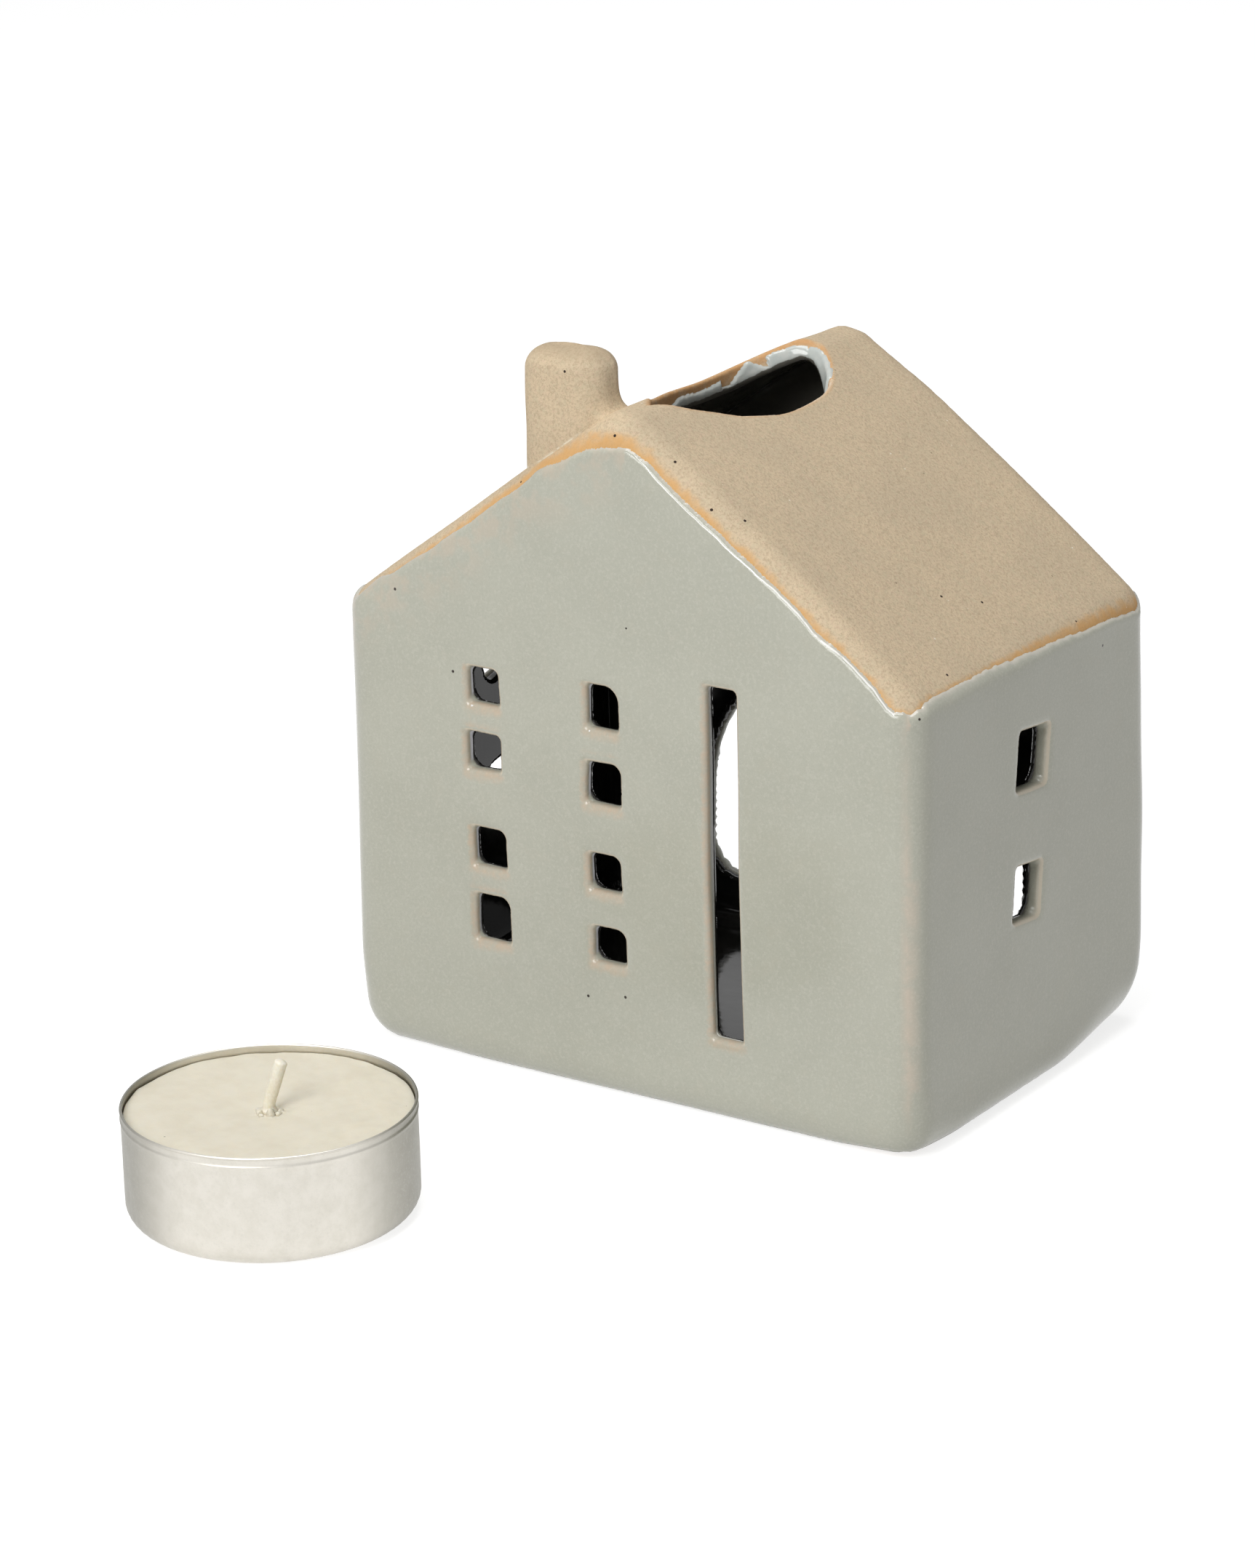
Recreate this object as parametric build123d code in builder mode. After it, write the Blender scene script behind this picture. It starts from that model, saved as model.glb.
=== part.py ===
from build123d import *
import math
import os

# A small stoneware house that shelters a tealight, and the tealight that stands in front of it.
# Millimetres, +Z up. The origin lies on the ground under the middle of the house.
# The front gable faces -Y. The tealight goes in through the arch of the back gable, at +Y.

os.makedirs("parts", exist_ok=True)

# House block, measured over the glaze to its sharp corners
house_width = 90
house_depth = 62
left_eave_height = 64
right_eave_height = 61.5
ridge_height = 95
outer_edge_radius = 4.2
foot_edge_radius = 3.2

# Casting: its walls hold their glaze too
side_wall = 3.1
gable_wall = 2.6
roof_wall = 2.8
floor_thickness = 3
inner_edge_radius = 1.8
glaze_thickness = 0.4
liner_thickness = 0.3
glaze_stop_under_roof = 1.6
glaze_stop_over_foot = 0.8
glaze_peak_radius = 9
cut_overrun = 1.5

# Front gable windows: two columns of four, hand cut and small
window_width = 5.3
window_height = 5.4
window_corner_radius = 0.9
left_window_column = 21.2
right_window_column = 2.2
lowest_window_height = 21.9
lower_storey_step = 10.1
storey_step = 13
upper_storey_step = 9.8

# Door slot in the front gable
slot_width = 4.7
slot_bottom_height = 12
slot_top_height = 60.6
slot_offset = 16.2
slot_corner_radius = 1.4

# Two windows in each side wall: a little towards the front in the right wall, and towards the back in the left
side_window_corner_radius = 1.3
upper_side_window_width = 8
upper_side_window_height = 8.5
lower_side_window_width = 7
lower_side_window_height = 8
right_upper_window_level = 47.2
right_upper_window_shift = -0.7
right_lower_window_level = 29
right_lower_window_shift = -1.9
left_upper_window_level = 47.6
left_upper_window_shift = 1.3
left_lower_window_level = 28.1
left_lower_window_shift = 1.2

# Arch in the back gable
arch_half_width = 25.3
arch_spring_height = 21.1
arch_sill_height = 9
arch_sill_radius = 7.5
arch_offset = 0.8

# Vent cut across the ridge, seen from above: round at the back, drawn to a point in front
vent_half_width = 8.1
vent_widest_offset = 3
vent_front_reach = 21.6
vent_back_reach = 17
vent_tip_radius = 1
quarter_turn = 90
vent_flank_width_share = 0.63
vent_flank_reach_share = 0.626

# Chimney, pressed on to the left slope close to the front
chimney_width = 13
chimney_depth = 8
chimney_top_width = 11.8
chimney_top_depth = 7.4
chimney_rise = 6.5
chimney_lean = 0.7
chimney_corner_radius = 3.2
chimney_top_radius = 3
chimney_ridge_gap = 2.9
chimney_front_gap = 2.2

# Tealight cup of thin aluminium
cup_radius = 19
cup_height = 15.2
cup_wall = 0.3
cup_corner_radius = 3.5
cup_rim_bead = 0.35
cup_second_bead = 0.22
cup_bead_spacing = 1.1
tealight_offset = 18.8
tealight_gap = 33.3

# Wax, wick and the tin foot that holds the wick
wax_clearance = 0.2
wax_below_rim = 1
wick_radius = 0.65
wick_show = 6.6
wick_lean_right = 1.6
wick_lean_back = 1.1
wick_bend_radius = 4
sustainer_radius = 6.5
sustainer_thickness = 0.3
sustainer_neck_radius = 1.35
sustainer_neck_height = 4

# Slopes and places worked out from the sizes
half_width = house_width / 2
half_depth = house_depth / 2
left_rise = (ridge_height - left_eave_height) / half_width
right_rise = (ridge_height - right_eave_height) / half_width
left_stretch = math.hypot(half_width, ridge_height - left_eave_height) / half_width
right_stretch = math.hypot(half_width, ridge_height - right_eave_height) / half_width
corner_low = (Align.MIN, Align.MIN)


def gable_corners(side_inset, roof_inset, base_height):
    """The five corners of the gable, drawn in at the sides and square under each slope."""
    left_top = ridge_height - roof_inset * left_stretch
    right_top = ridge_height - roof_inset * right_stretch
    peak = (left_top - right_top) / (left_rise + right_rise)
    reach = half_width - side_inset
    return [
        (-reach, base_height),
        (reach, base_height),
        (reach, right_top - right_rise * reach),
        (-peak, left_top - left_rise * peak),
        (-reach, left_top - left_rise * reach),
    ]


def house_block(side_inset, gable_inset, roof_inset, base_height, edge_radius, base_radius):
    """The rounded block of the house, drawn in from its outside by one inset for each kind of face."""
    with BuildPart() as block:
        with BuildSketch(Plane.XZ.offset(half_depth - gable_inset)):
            with BuildLine():
                Polyline(*gable_corners(side_inset, roof_inset, base_height), close=True)
            make_face()
        extrude(amount=2 * (gable_inset - half_depth))
        fillet(block.edges() - block.edges().group_by(Axis.Z)[0], radius=edge_radius)
        fillet(block.edges().group_by(Axis.Z)[0], radius=base_radius)
    return block.part


outside = house_block(0, 0, 0, 0, outer_edge_radius, foot_edge_radius)
under_glaze = house_block(
    glaze_thickness,
    glaze_thickness,
    glaze_thickness,
    glaze_thickness,
    outer_edge_radius - glaze_thickness,
    foot_edge_radius - glaze_thickness,
)
bare_hollow = house_block(
    side_wall - liner_thickness,
    gable_wall - liner_thickness,
    roof_wall - liner_thickness,
    floor_thickness - liner_thickness,
    inner_edge_radius + liner_thickness,
    inner_edge_radius + liner_thickness,
)
room = house_block(
    side_wall, gable_wall, roof_wall, floor_thickness, inner_edge_radius, inner_edge_radius
)

# Everything that is cut through the walls and the roof
with BuildPart() as cuts:
    front_plane = Plane.XZ.offset(half_depth + cut_overrun)
    with BuildSketch(front_plane):
        for column in (-left_window_column, -right_window_column):
            level = lowest_window_height
            for step in (lower_storey_step, storey_step, upper_storey_step, 0):
                with Locations((column, level)):
                    RectangleRounded(window_width, window_height, window_corner_radius)
                level += step
        with Locations((slot_offset, (slot_bottom_height + slot_top_height) / 2)):
            RectangleRounded(
                slot_width, slot_top_height - slot_bottom_height, slot_corner_radius
            )
    extrude(amount=-(gable_wall + 2 * cut_overrun))

    left_upper_place = (left_upper_window_shift, left_upper_window_level)
    left_lower_place = (left_lower_window_shift, left_lower_window_level)
    right_upper_place = (right_upper_window_shift, right_upper_window_level)
    right_lower_place = (right_lower_window_shift, right_lower_window_level)
    for wall_side, upper_place, lower_place in (
        (-1, left_upper_place, left_lower_place),
        (1, right_upper_place, right_lower_place),
    ):
        side_plane = Plane.YZ.offset(wall_side * (half_width + cut_overrun))
        with BuildSketch(side_plane):
            with Locations(upper_place):
                RectangleRounded(
                    upper_side_window_width, upper_side_window_height, side_window_corner_radius
                )
            with Locations(lower_place):
                RectangleRounded(
                    lower_side_window_width, lower_side_window_height, side_window_corner_radius
                )
        extrude(amount=-wall_side * (side_wall + 2 * cut_overrun))

    back_plane = Plane.XZ.offset(gable_wall + cut_overrun - half_depth)
    with BuildSketch(back_plane) as arch_outline:
        with BuildLine():
            arch_left = arch_offset - arch_half_width
            arch_right = arch_offset + arch_half_width
            Polyline(
                (arch_left, arch_spring_height),
                (arch_left, arch_sill_height),
                (arch_right, arch_sill_height),
                (arch_right, arch_spring_height),
            )
            ThreePointArc(
                (arch_right, arch_spring_height),
                (arch_offset, arch_spring_height + arch_half_width),
                (arch_left, arch_spring_height),
            )
        make_face()
        fillet(arch_outline.vertices().group_by(Axis.Y)[0], radius=arch_sill_radius)
    extrude(amount=-(gable_wall + 2 * cut_overrun))

    with BuildSketch(Plane.XY.offset(right_eave_height)) as vent_outline:
        with BuildLine():
            vent_front = (0, -vent_front_reach)
            vent_side = (vent_half_width, vent_widest_offset)
            flank_reach = vent_widest_offset + vent_front_reach
            vent_flank = (
                vent_half_width * vent_flank_width_share,
                vent_widest_offset - flank_reach * vent_flank_reach_share,
            )
            ThreePointArc(vent_front, vent_flank, vent_side)
            EllipticalCenterArc(
                (0, vent_widest_offset),
                vent_half_width,
                vent_back_reach - vent_widest_offset,
                start_angle=0,
                arc_size=quarter_turn,
            )
            mirror(about=Plane.YZ)
        make_face()
        fillet(vent_outline.vertices().sort_by(Axis.Y)[0], radius=vent_tip_radius)
    extrude(amount=ridge_height + cut_overrun - right_eave_height)

# Outer glaze: from just over the foot to just under the roof edges, on all four walls
with BuildPart() as glazed_block:
    with BuildSketch(Plane.XZ.offset(half_depth + cut_overrun)) as glazed_face:
        with BuildLine():
            Polyline(*gable_corners(-cut_overrun, 0, 0), close=True)
        make_face()
        fillet(glazed_face.vertices().sort_by(Axis.Y)[-1], radius=glaze_peak_radius)
    extrude(amount=-2 * (half_depth + cut_overrun))
glazed_space = glazed_block.part.moved(Location((0, 0, -glaze_stop_under_roof)))

with BuildPart() as wall_glaze:
    add(outside)
    add(glazed_space, mode=Mode.INTERSECT)
    with Locations((0, 0, glaze_stop_over_foot)):
        Box(
            house_width,
            house_depth,
            glaze_stop_over_foot,
            align=(Align.CENTER, Align.CENTER, Align.MAX),
            mode=Mode.SUBTRACT,
        )
    add(under_glaze, mode=Mode.SUBTRACT)
    add(cuts.part, mode=Mode.SUBTRACT)
wall_glaze.part.label = "wall_glaze"
export_step(wall_glaze.part, "parts/wall_glaze.step")

# Inner glaze: a dark coat all over the room, broken only by the openings
with BuildPart() as liner_glaze:
    add(bare_hollow)
    add(room, mode=Mode.SUBTRACT)
    add(cuts.part, mode=Mode.SUBTRACT)
liner_glaze.part.label = "liner_glaze"
export_step(liner_glaze.part, "parts/liner_glaze.step")

# Fired clay casting: floor, four walls and both slopes of the roof in one
with BuildPart() as house_shell:
    add(outside)
    add(bare_hollow, mode=Mode.SUBTRACT)
    add(cuts.part, mode=Mode.SUBTRACT)
    add(wall_glaze.part, mode=Mode.SUBTRACT)
house_shell.part.label = "house_shell"
export_step(house_shell.part, "parts/house_shell.step")

# Chimney: a soft-edged block of clay whose foot follows the slope it stands on
chimney_right = -chimney_ridge_gap
chimney_left = chimney_right - chimney_width
chimney_middle = (chimney_left + chimney_right) / 2
chimney_centre_y = chimney_front_gap + chimney_depth / 2 - half_depth
chimney_root_height = ridge_height + left_rise * chimney_left - outer_edge_radius
chimney_top_height = ridge_height + chimney_rise
with BuildPart() as chimney:
    with BuildSketch(Plane.XY.offset(chimney_root_height)):
        with Locations((chimney_middle, chimney_centre_y)):
            RectangleRounded(chimney_width, chimney_depth, chimney_corner_radius)
    with BuildSketch(Plane.XY.offset(chimney_top_height)):
        with Locations((chimney_middle - chimney_lean, chimney_centre_y)):
            RectangleRounded(chimney_top_width, chimney_top_depth, chimney_corner_radius)
    loft()
    fillet(chimney.edges().group_by(Axis.Z)[-1], radius=chimney_top_radius)
    add(outside, mode=Mode.SUBTRACT)
chimney.part.label = "chimney"
export_step(chimney.part, "parts/chimney.step")

# The tealight's own places: its axis, and the upright plane that its profiles are turned from
tealight_x = -tealight_offset
tealight_y = -(half_depth + tealight_gap + cup_radius)
tealight_axis = Axis((tealight_x, tealight_y, 0), (0, 0, 1))
turning_plane = Plane(origin=(tealight_x, tealight_y, 0), x_dir=(1, 0, 0), z_dir=(0, -1, 0))
cup_wall_radius = cup_radius - cup_rim_bead
wax_radius = cup_wall_radius - cup_wall - wax_clearance
wax_top_height = cup_height - wax_below_rim

# Cup: pressed from foil, with a round bottom corner and two fine beads at the rim
with BuildPart() as tealight_cup:
    with BuildSketch(turning_plane) as cup_profile:
        Rectangle(cup_wall_radius, cup_height, align=corner_low)
        cup_corner = cup_profile.vertices().group_by(Axis.Y)[0].sort_by(Axis.X)[-1]
        fillet(cup_corner, radius=cup_corner_radius)
        with Locations((cup_wall_radius, cup_height - cup_rim_bead)):
            Circle(cup_rim_bead)
        with Locations((cup_wall_radius, cup_height - cup_rim_bead - cup_bead_spacing)):
            Circle(cup_second_bead)
        with BuildSketch(mode=Mode.PRIVATE) as cup_hollow:
            with Locations((0, cup_wall)):
                Rectangle(cup_wall_radius - cup_wall, cup_height, align=corner_low)
            hollow_corner = cup_hollow.vertices().group_by(Axis.Y)[0].sort_by(Axis.X)[-1]
            fillet(hollow_corner, radius=cup_corner_radius - cup_wall)
        add(cup_hollow.sketch, mode=Mode.SUBTRACT)
    revolve(axis=tealight_axis)
tealight_cup.part.label = "tealight_cup"
export_step(tealight_cup.part, "parts/tealight_cup.step")

# Wick foot: a tin disc on the cup's floor with a neck that grips the wick
sustainer_top = cup_wall + sustainer_thickness
with BuildPart() as wick_sustainer:
    with BuildSketch(turning_plane):
        with Locations((0, cup_wall)):
            Rectangle(sustainer_radius, sustainer_thickness, align=corner_low)
        with Locations((wick_radius, sustainer_top)):
            Rectangle(
                sustainer_neck_radius - wick_radius, sustainer_neck_height, align=corner_low
            )
    revolve(axis=tealight_axis)
wick_sustainer.part.label = "wick_sustainer"
export_step(wick_sustainer.part, "parts/wick_sustainer.step")

# Wax: fills the cup up to just under the rim, round the wick and over its foot
with BuildPart() as candle_wax:
    with BuildSketch(turning_plane) as wax_profile:
        with Locations((0, cup_wall)):
            Rectangle(wax_radius, wax_top_height - cup_wall, align=corner_low)
        wax_corner = wax_profile.vertices().group_by(Axis.Y)[0].sort_by(Axis.X)[-1]
        fillet(wax_corner, radius=cup_corner_radius - cup_wall)
        Rectangle(wick_radius, wax_top_height, align=corner_low, mode=Mode.SUBTRACT)
        Rectangle(sustainer_radius, sustainer_top, align=corner_low, mode=Mode.SUBTRACT)
        Rectangle(
            sustainer_neck_radius,
            sustainer_top + sustainer_neck_height,
            align=corner_low,
            mode=Mode.SUBTRACT,
        )
    revolve(axis=tealight_axis)
candle_wax.part.label = "candle_wax"
export_step(candle_wax.part, "parts/candle_wax.step")

# Wick: straight up through the wax, then leaning to the right and back
with BuildPart() as wick:
    with BuildLine(Plane((tealight_x, tealight_y, 0))) as wick_path:
        FilletPolyline(
            (0, 0, sustainer_top),
            (0, 0, wax_top_height + wick_radius),
            (wick_lean_right, wick_lean_back, wax_top_height + wick_show),
            radius=wick_bend_radius,
        )
    with BuildSketch(Plane((tealight_x, tealight_y, sustainer_top))):
        Circle(wick_radius)
    sweep(path=wick_path.line)
wick.part.label = "wick"
export_step(wick.part, "parts/wick.step")
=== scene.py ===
# %% [markdown]
# # A stoneware tealight house
# This lesson dresses a imported CAD model of a small fired-clay house and of the tealight that stands in
# front of it. The CAD model is exact but too neat. A real house of this kind is cast and cut by hand: its
# edges are soft, its windows differ, and its glaze is a layer of glass with a thickness of its own. So the
# casting becomes a skin of small triangles that is pressed on to a hand-made form, and the glaze coats are
# grown on that skin. First the frame comes in. The finished model must stay inside it.

import math
import time

import bmesh
import bpy
import numpy as np
from mathutils import Matrix, Vector


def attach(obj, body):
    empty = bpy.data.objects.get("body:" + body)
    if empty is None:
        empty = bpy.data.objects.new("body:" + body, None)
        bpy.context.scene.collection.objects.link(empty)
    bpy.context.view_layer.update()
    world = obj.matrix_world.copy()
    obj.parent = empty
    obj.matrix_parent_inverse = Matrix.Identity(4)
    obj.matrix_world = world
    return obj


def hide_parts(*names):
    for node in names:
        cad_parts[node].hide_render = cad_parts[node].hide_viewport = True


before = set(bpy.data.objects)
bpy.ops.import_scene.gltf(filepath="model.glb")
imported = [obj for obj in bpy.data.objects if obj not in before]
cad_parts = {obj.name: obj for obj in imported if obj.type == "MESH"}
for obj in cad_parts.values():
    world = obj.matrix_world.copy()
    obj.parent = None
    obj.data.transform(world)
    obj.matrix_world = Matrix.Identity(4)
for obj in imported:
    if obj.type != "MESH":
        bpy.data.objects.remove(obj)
bpy.context.view_layer.update()
started = time.perf_counter()
print("nodes:", sorted(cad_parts))

# %% [markdown]
# ## The camera
# The camera stands to the right of the house and a little above it, as the photographer stood. Its
# direction, its distance and its long lens were found once, from the corners of the house. Here it is built
# from three directions: to the right, up, and back towards the photographer. All lengths in this lesson are
# millimetres until a mesh or an object is made, because clay is measured in millimetres.

# %% Set up the camera
MM = 0.001


def add_object(name, data):
    """A new object in the scene, round a mesh, a camera or a lamp."""
    added = bpy.data.objects.new(name, data)
    bpy.context.scene.collection.objects.link(added)
    return added


view_azimuth = math.radians(34.543)
view_height = math.radians(19.183)
view_roll = math.radians(-1.383)
view_distance = 714.215
aim_height = 40
aim_right = -16.35
aim_up = -4.192
film_height = 36
lens_in_pixels = 7262.78
photo_height = 2156

back = Vector((
    math.sin(view_azimuth) * math.cos(view_height),
    -math.cos(view_azimuth) * math.cos(view_height),
    math.sin(view_height),
))
level_right = Vector((math.cos(view_azimuth), math.sin(view_azimuth), 0))
level_up = back.cross(level_right)
right = math.cos(view_roll) * level_right + math.sin(view_roll) * level_up
up = math.cos(view_roll) * level_up - math.sin(view_roll) * level_right
aim = Vector((0, 0, aim_height)) + aim_right * right + aim_up * up

camera_data = bpy.data.cameras.new("camera")
camera_data.sensor_fit = "VERTICAL"
camera_data.sensor_height = film_height
camera_data.lens = lens_in_pixels * film_height / photo_height
camera_data.clip_start = 0.01
camera = add_object("camera", camera_data)
turned = Matrix((right, up, back)).transposed().to_4x4()
camera.matrix_world = Matrix.Translation((aim + view_distance * back) * MM) @ turned
bpy.context.scene.camera = camera
bpy.context.scene.view_settings.view_transform = "Standard"
print("camera lens in mm:", round(camera_data.lens, 2))

# %% [markdown]
# ## Describing clay with distances
# A form can be described by a function that says, for any point, how far it is from the surface: below zero
# inside, above zero outside. Such forms are easy to combine. The larger of two values is where both forms
# overlap, and a rounded version of that "larger of" gives every edge the soft radius that a wet sponge
# leaves on clay. An ordinary bevel could do it for one clean edge, but not for windows, walls and a curved
# vent that all run into each other.

# %% Helpers for forms
def soft_corner(first, second, radius):
    """Where two forms overlap, with the edge between them rounded."""
    first_over = np.maximum(first + radius, 0)
    second_over = np.maximum(second + radius, 0)
    return np.minimum(np.maximum(first, second), -radius) + np.hypot(first_over, second_over)


def outline_distance(across, upward, corners):
    """Signed distance from a closed, convex outline whose corners run counterclockwise."""
    nearest = np.full(across.shape, np.inf)
    inside = np.ones(across.shape, bool)
    for (x0, z0), (x1, z1) in zip(corners, corners[1:] + corners[:1]):
        run, rise = x1 - x0, z1 - z0
        share = ((across - x0) * run + (upward - z0) * rise) / (run * run + rise * rise)
        share = np.clip(share, 0, 1)
        gap = np.hypot(across - x0 - share * run, upward - z0 - share * rise)
        nearest = np.minimum(nearest, gap)
        inside &= run * (upward - z0) - rise * (across - x0) >= 0
    return np.where(inside, -nearest, nearest)


def rounded_rectangle(across, upward, half_width, half_height, corner):
    """Signed distance from a rectangle about zero whose corner radius may differ from point to point."""
    over_side = np.abs(across) - half_width + corner
    over_top = np.abs(upward) - half_height + corner
    outside_part = np.hypot(np.maximum(over_side, 0), np.maximum(over_top, 0))
    return np.minimum(np.maximum(over_side, over_top), 0) + outside_part - corner


def swell(points, wavelength, seed, waves=10):
    """Gentle seeded unevenness, mostly between -1 and 1, made of plane waves in many directions."""
    dice = np.random.default_rng(seed)
    ways = dice.normal(size=(waves, points.shape[1]))
    ways /= np.linalg.norm(ways, axis=1)[:, None]
    pace = 2 * np.pi / (wavelength * dice.uniform(0.7, 1.5, waves))
    starts = dice.uniform(0, 2 * np.pi, waves)
    return np.sin(points @ (ways * pace[:, None]).T + starts).sum(axis=1) * math.sqrt(2 / waves) / 1.6


def smooth_step(value, low, high):
    """0 below low, 1 above high, and an even curve between them."""
    share = np.clip((value - low) / (high - low), 0, 1)
    return share * share * (3 - 2 * share)


# %% [markdown]
# ## The body of the house
# The house is a five-sided prism with soft edges, hollow inside. The same function draws both the outside
# and the room. The walls are set back by the thickness of their glaze, and the roof isn't, because it is
# left bare. On top of that come shallow dents that only go inwards, as fingers and a plaster mould leave
# them, so that the house never grows out of its CAD box.

# %% Walls, roof and room
house_width = 90
house_depth = 62
half_depth = house_depth / 2
left_eave = 64
right_eave = 61.5
ridge = 95
glaze_thickness = 0.4
liner_thickness = 0.3
edge_radius = 4.2
half_width = house_width / 2
left_rise = (ridge - left_eave) / half_width
right_rise = (ridge - right_eave) / half_width
left_stretch = math.hypot(1, left_rise)
right_stretch = math.hypot(1, right_rise)
below_ground = -20


def gable_corners(side_inset, roof_inset):
    """The gable's five corners, drawn in from the sides and square to each slope."""
    left_top = ridge - roof_inset * left_stretch
    right_top = ridge - roof_inset * right_stretch
    peak = (left_top - right_top) / (left_rise + right_rise)
    reach = half_width - side_inset
    return [
        (-reach, below_ground),
        (reach, below_ground),
        (reach, right_top - right_rise * reach),
        (-peak, left_top - left_rise * peak),
        (-reach, left_top - left_rise * reach),
    ]


def house_block(points, side, gable, roof, base, corner, edge, foot):
    """The rounded block of the house, drawn in by one inset for each kind of face.

    corner rounds the gable's five corners, edge the edges of both gable faces, foot the edges on the ground.
    """
    x, y, z = points.T
    in_gable = outline_distance(x, z, gable_corners(side + corner, roof + corner)) - corner
    in_depth = np.abs(y) - (half_depth - gable)
    return soft_corner(soft_corner(in_gable, in_depth, edge), base - z, foot)


def finger_dents(points):
    """How deep the surface is pressed in: 0 at the foot, up to 0.35 mm elsewhere."""
    depth = 0.1 + 0.11 * swell(points, 46, 3, 8) + 0.04 * swell(points, 15, 4, 8)
    return np.clip(depth, 0, 0.35) * smooth_step(points[:, 2], 0.5, 7)


def slumped(points):
    """The roof sagged in the kiln: the left slope swells beside the ridge, the right one in its middle."""
    x, y, z = points.T
    along_slope = np.minimum(np.abs(x) / half_width, 1)
    to_back = smooth_step(y, -10, 25)
    droop = 0.5 * along_slope ** 6
    beside_ridge = 17.7 * along_slope * np.exp(-5 * along_slope) * (1 - 0.35 * smooth_step(-y, 6, 16))
    swollen_left = beside_ridge - 0.25 * along_slope - droop
    swollen_right = np.sin(np.pi * along_slope) * (1 - 0.5 * to_back) - droop * (1 - to_back)
    swollen = np.where(x < 0, swollen_left, swollen_right)
    settled_ridge = 0.9 * smooth_step(y, 4, 26) * smooth_step(-np.abs(x), -14, -2)
    lift = (swollen - settled_ridge) * smooth_step(z, 48, 62)
    return np.column_stack((x, y, z - lift))


def worn_foot(points):
    """How round the edge on the ground is: the most at the back on the right, then at the near corner."""
    x, y, _ = points.T
    near_corner = 1.8 * smooth_step(x - y, 60, 76)
    return 4.5 + near_corner + 4.6 * smooth_step(x + y, 50, 72) + 1.2 * smooth_step(-x - y, 50, 72)


def outer_form(points):
    x, y, z = points.T
    upright_edge = 3.0 + 1.2 * smooth_step(z, 25, 60) + 1.8 * smooth_step(-z, -14, -2)
    bare = house_block(
        slumped(points), side=glaze_thickness, gable=glaze_thickness, roof=0, base=0,
        corner=edge_radius, edge=upright_edge, foot=worn_foot(points),
    )
    left_wall_dent = 0.32 * smooth_step(-x, 40, 44) * np.exp(-((z - 36) / 20) ** 2)
    return bare + finger_dents(points) + left_wall_dent


def hollow_form(points):
    """The room before its dark glaze goes on."""
    room_foot = 2.1 + 0.75 * (worn_foot(points) - 3.5)
    room = house_block(
        slumped(points), side=2.8, gable=2.3, roof=2.5, base=2.7, corner=2.1, edge=2.1, foot=room_foot
    )
    return room + 0.1 * swell(points, 21, 8, 6)


# %% [markdown]
# ## Windows, door slot, arch and vent
# Every opening was cut with a knife in leather-hard clay, so no two windows are the same size. Each row of
# the first table gives the left, right, lower and upper edge of one window, and how much rounder its upper
# right corner is. Seen from outside, the other corners are nearly square, and all grow rounder with depth,
# where glaze has run into them. The side windows have a middle, half a width, half a height and a tilt,
# because they sit crooked. The arch in the back wall lets the tealight in. The vent is a leaf shape cut
# down through the ridge.

# %% Openings
front_windows = [
    (-24.6, -19.0, 51.7, 57.3, 0.5), (-25.0, -19.0, 42.4, 48.2, 0.2), (-24.5, -18.6, 28.8, 34.9, 0.8),
    (-24.4, -18.3, 18.3, 25.4, 1.0), (-5.6, 0.0, 51.3, 58.0, 1.5), (-5.9, 0.2, 40.9, 47.4, 0.9),
    (-5.7, -0.1, 28.9, 34.6, 0.8), (-5.5, 0.4, 18.8, 24.3, 0.8),
]
right_windows = [(-0.7, 47.25, 4.1, 4.35, 5.7), (-1.9, 29.0, 3.6, 4.1, 5.7)]
left_windows = [(1.0, 48.0, 4.0, 4.25, -14), (1.35, 28.3, 3.5, 4.0, -14)]
slot_edges = (13.35, 18.6, 11.55, 60.7, 0.3)
wall_depth_limit = 8
window_corner = 0.3
side_corner = 0.5
far_away = 9.0
knife_waver = 0.06


def corner_growth(depth):
    """How much rounder a window's corners are at a depth in the wall."""
    return 0.75 * np.clip(depth, 0, 3)


def cut_windows(across, upward, depth, windows):
    """Distance from the nearest of several windows, whose corners grow rounder with depth."""
    nearest = np.full(across.shape, np.inf)
    for low_side, high_side, bottom, top, rounder in windows:
        sideways = across - (low_side + high_side) / 2
        over = upward - (bottom + top) / 2
        half_across = (high_side - low_side) / 2
        own_corner = window_corner + rounder * ((sideways > 0) & (over > 0)) + corner_growth(depth)
        growing = np.minimum(own_corner, half_across * 0.9)
        half_up = (top - bottom) / 2
        nearest = np.minimum(nearest, rounded_rectangle(sideways, over, half_across, half_up, growing))
    return nearest


def cut_crooked(along, upward, depth, windows):
    """Distance from the nearest of several tilted windows in a side wall."""
    nearest = np.full(along.shape, np.inf)
    for middle_along, middle_up, half_along, half_up, tilt in windows:
        cosine, sine = math.cos(math.radians(tilt)), math.sin(math.radians(tilt))
        aside, over = along - middle_along, upward - middle_up
        nearest = np.minimum(nearest, rounded_rectangle(
            cosine * aside - sine * over, sine * aside + cosine * over,
            half_along, half_up, side_corner + corner_growth(depth),
        ))
    return nearest


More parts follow.
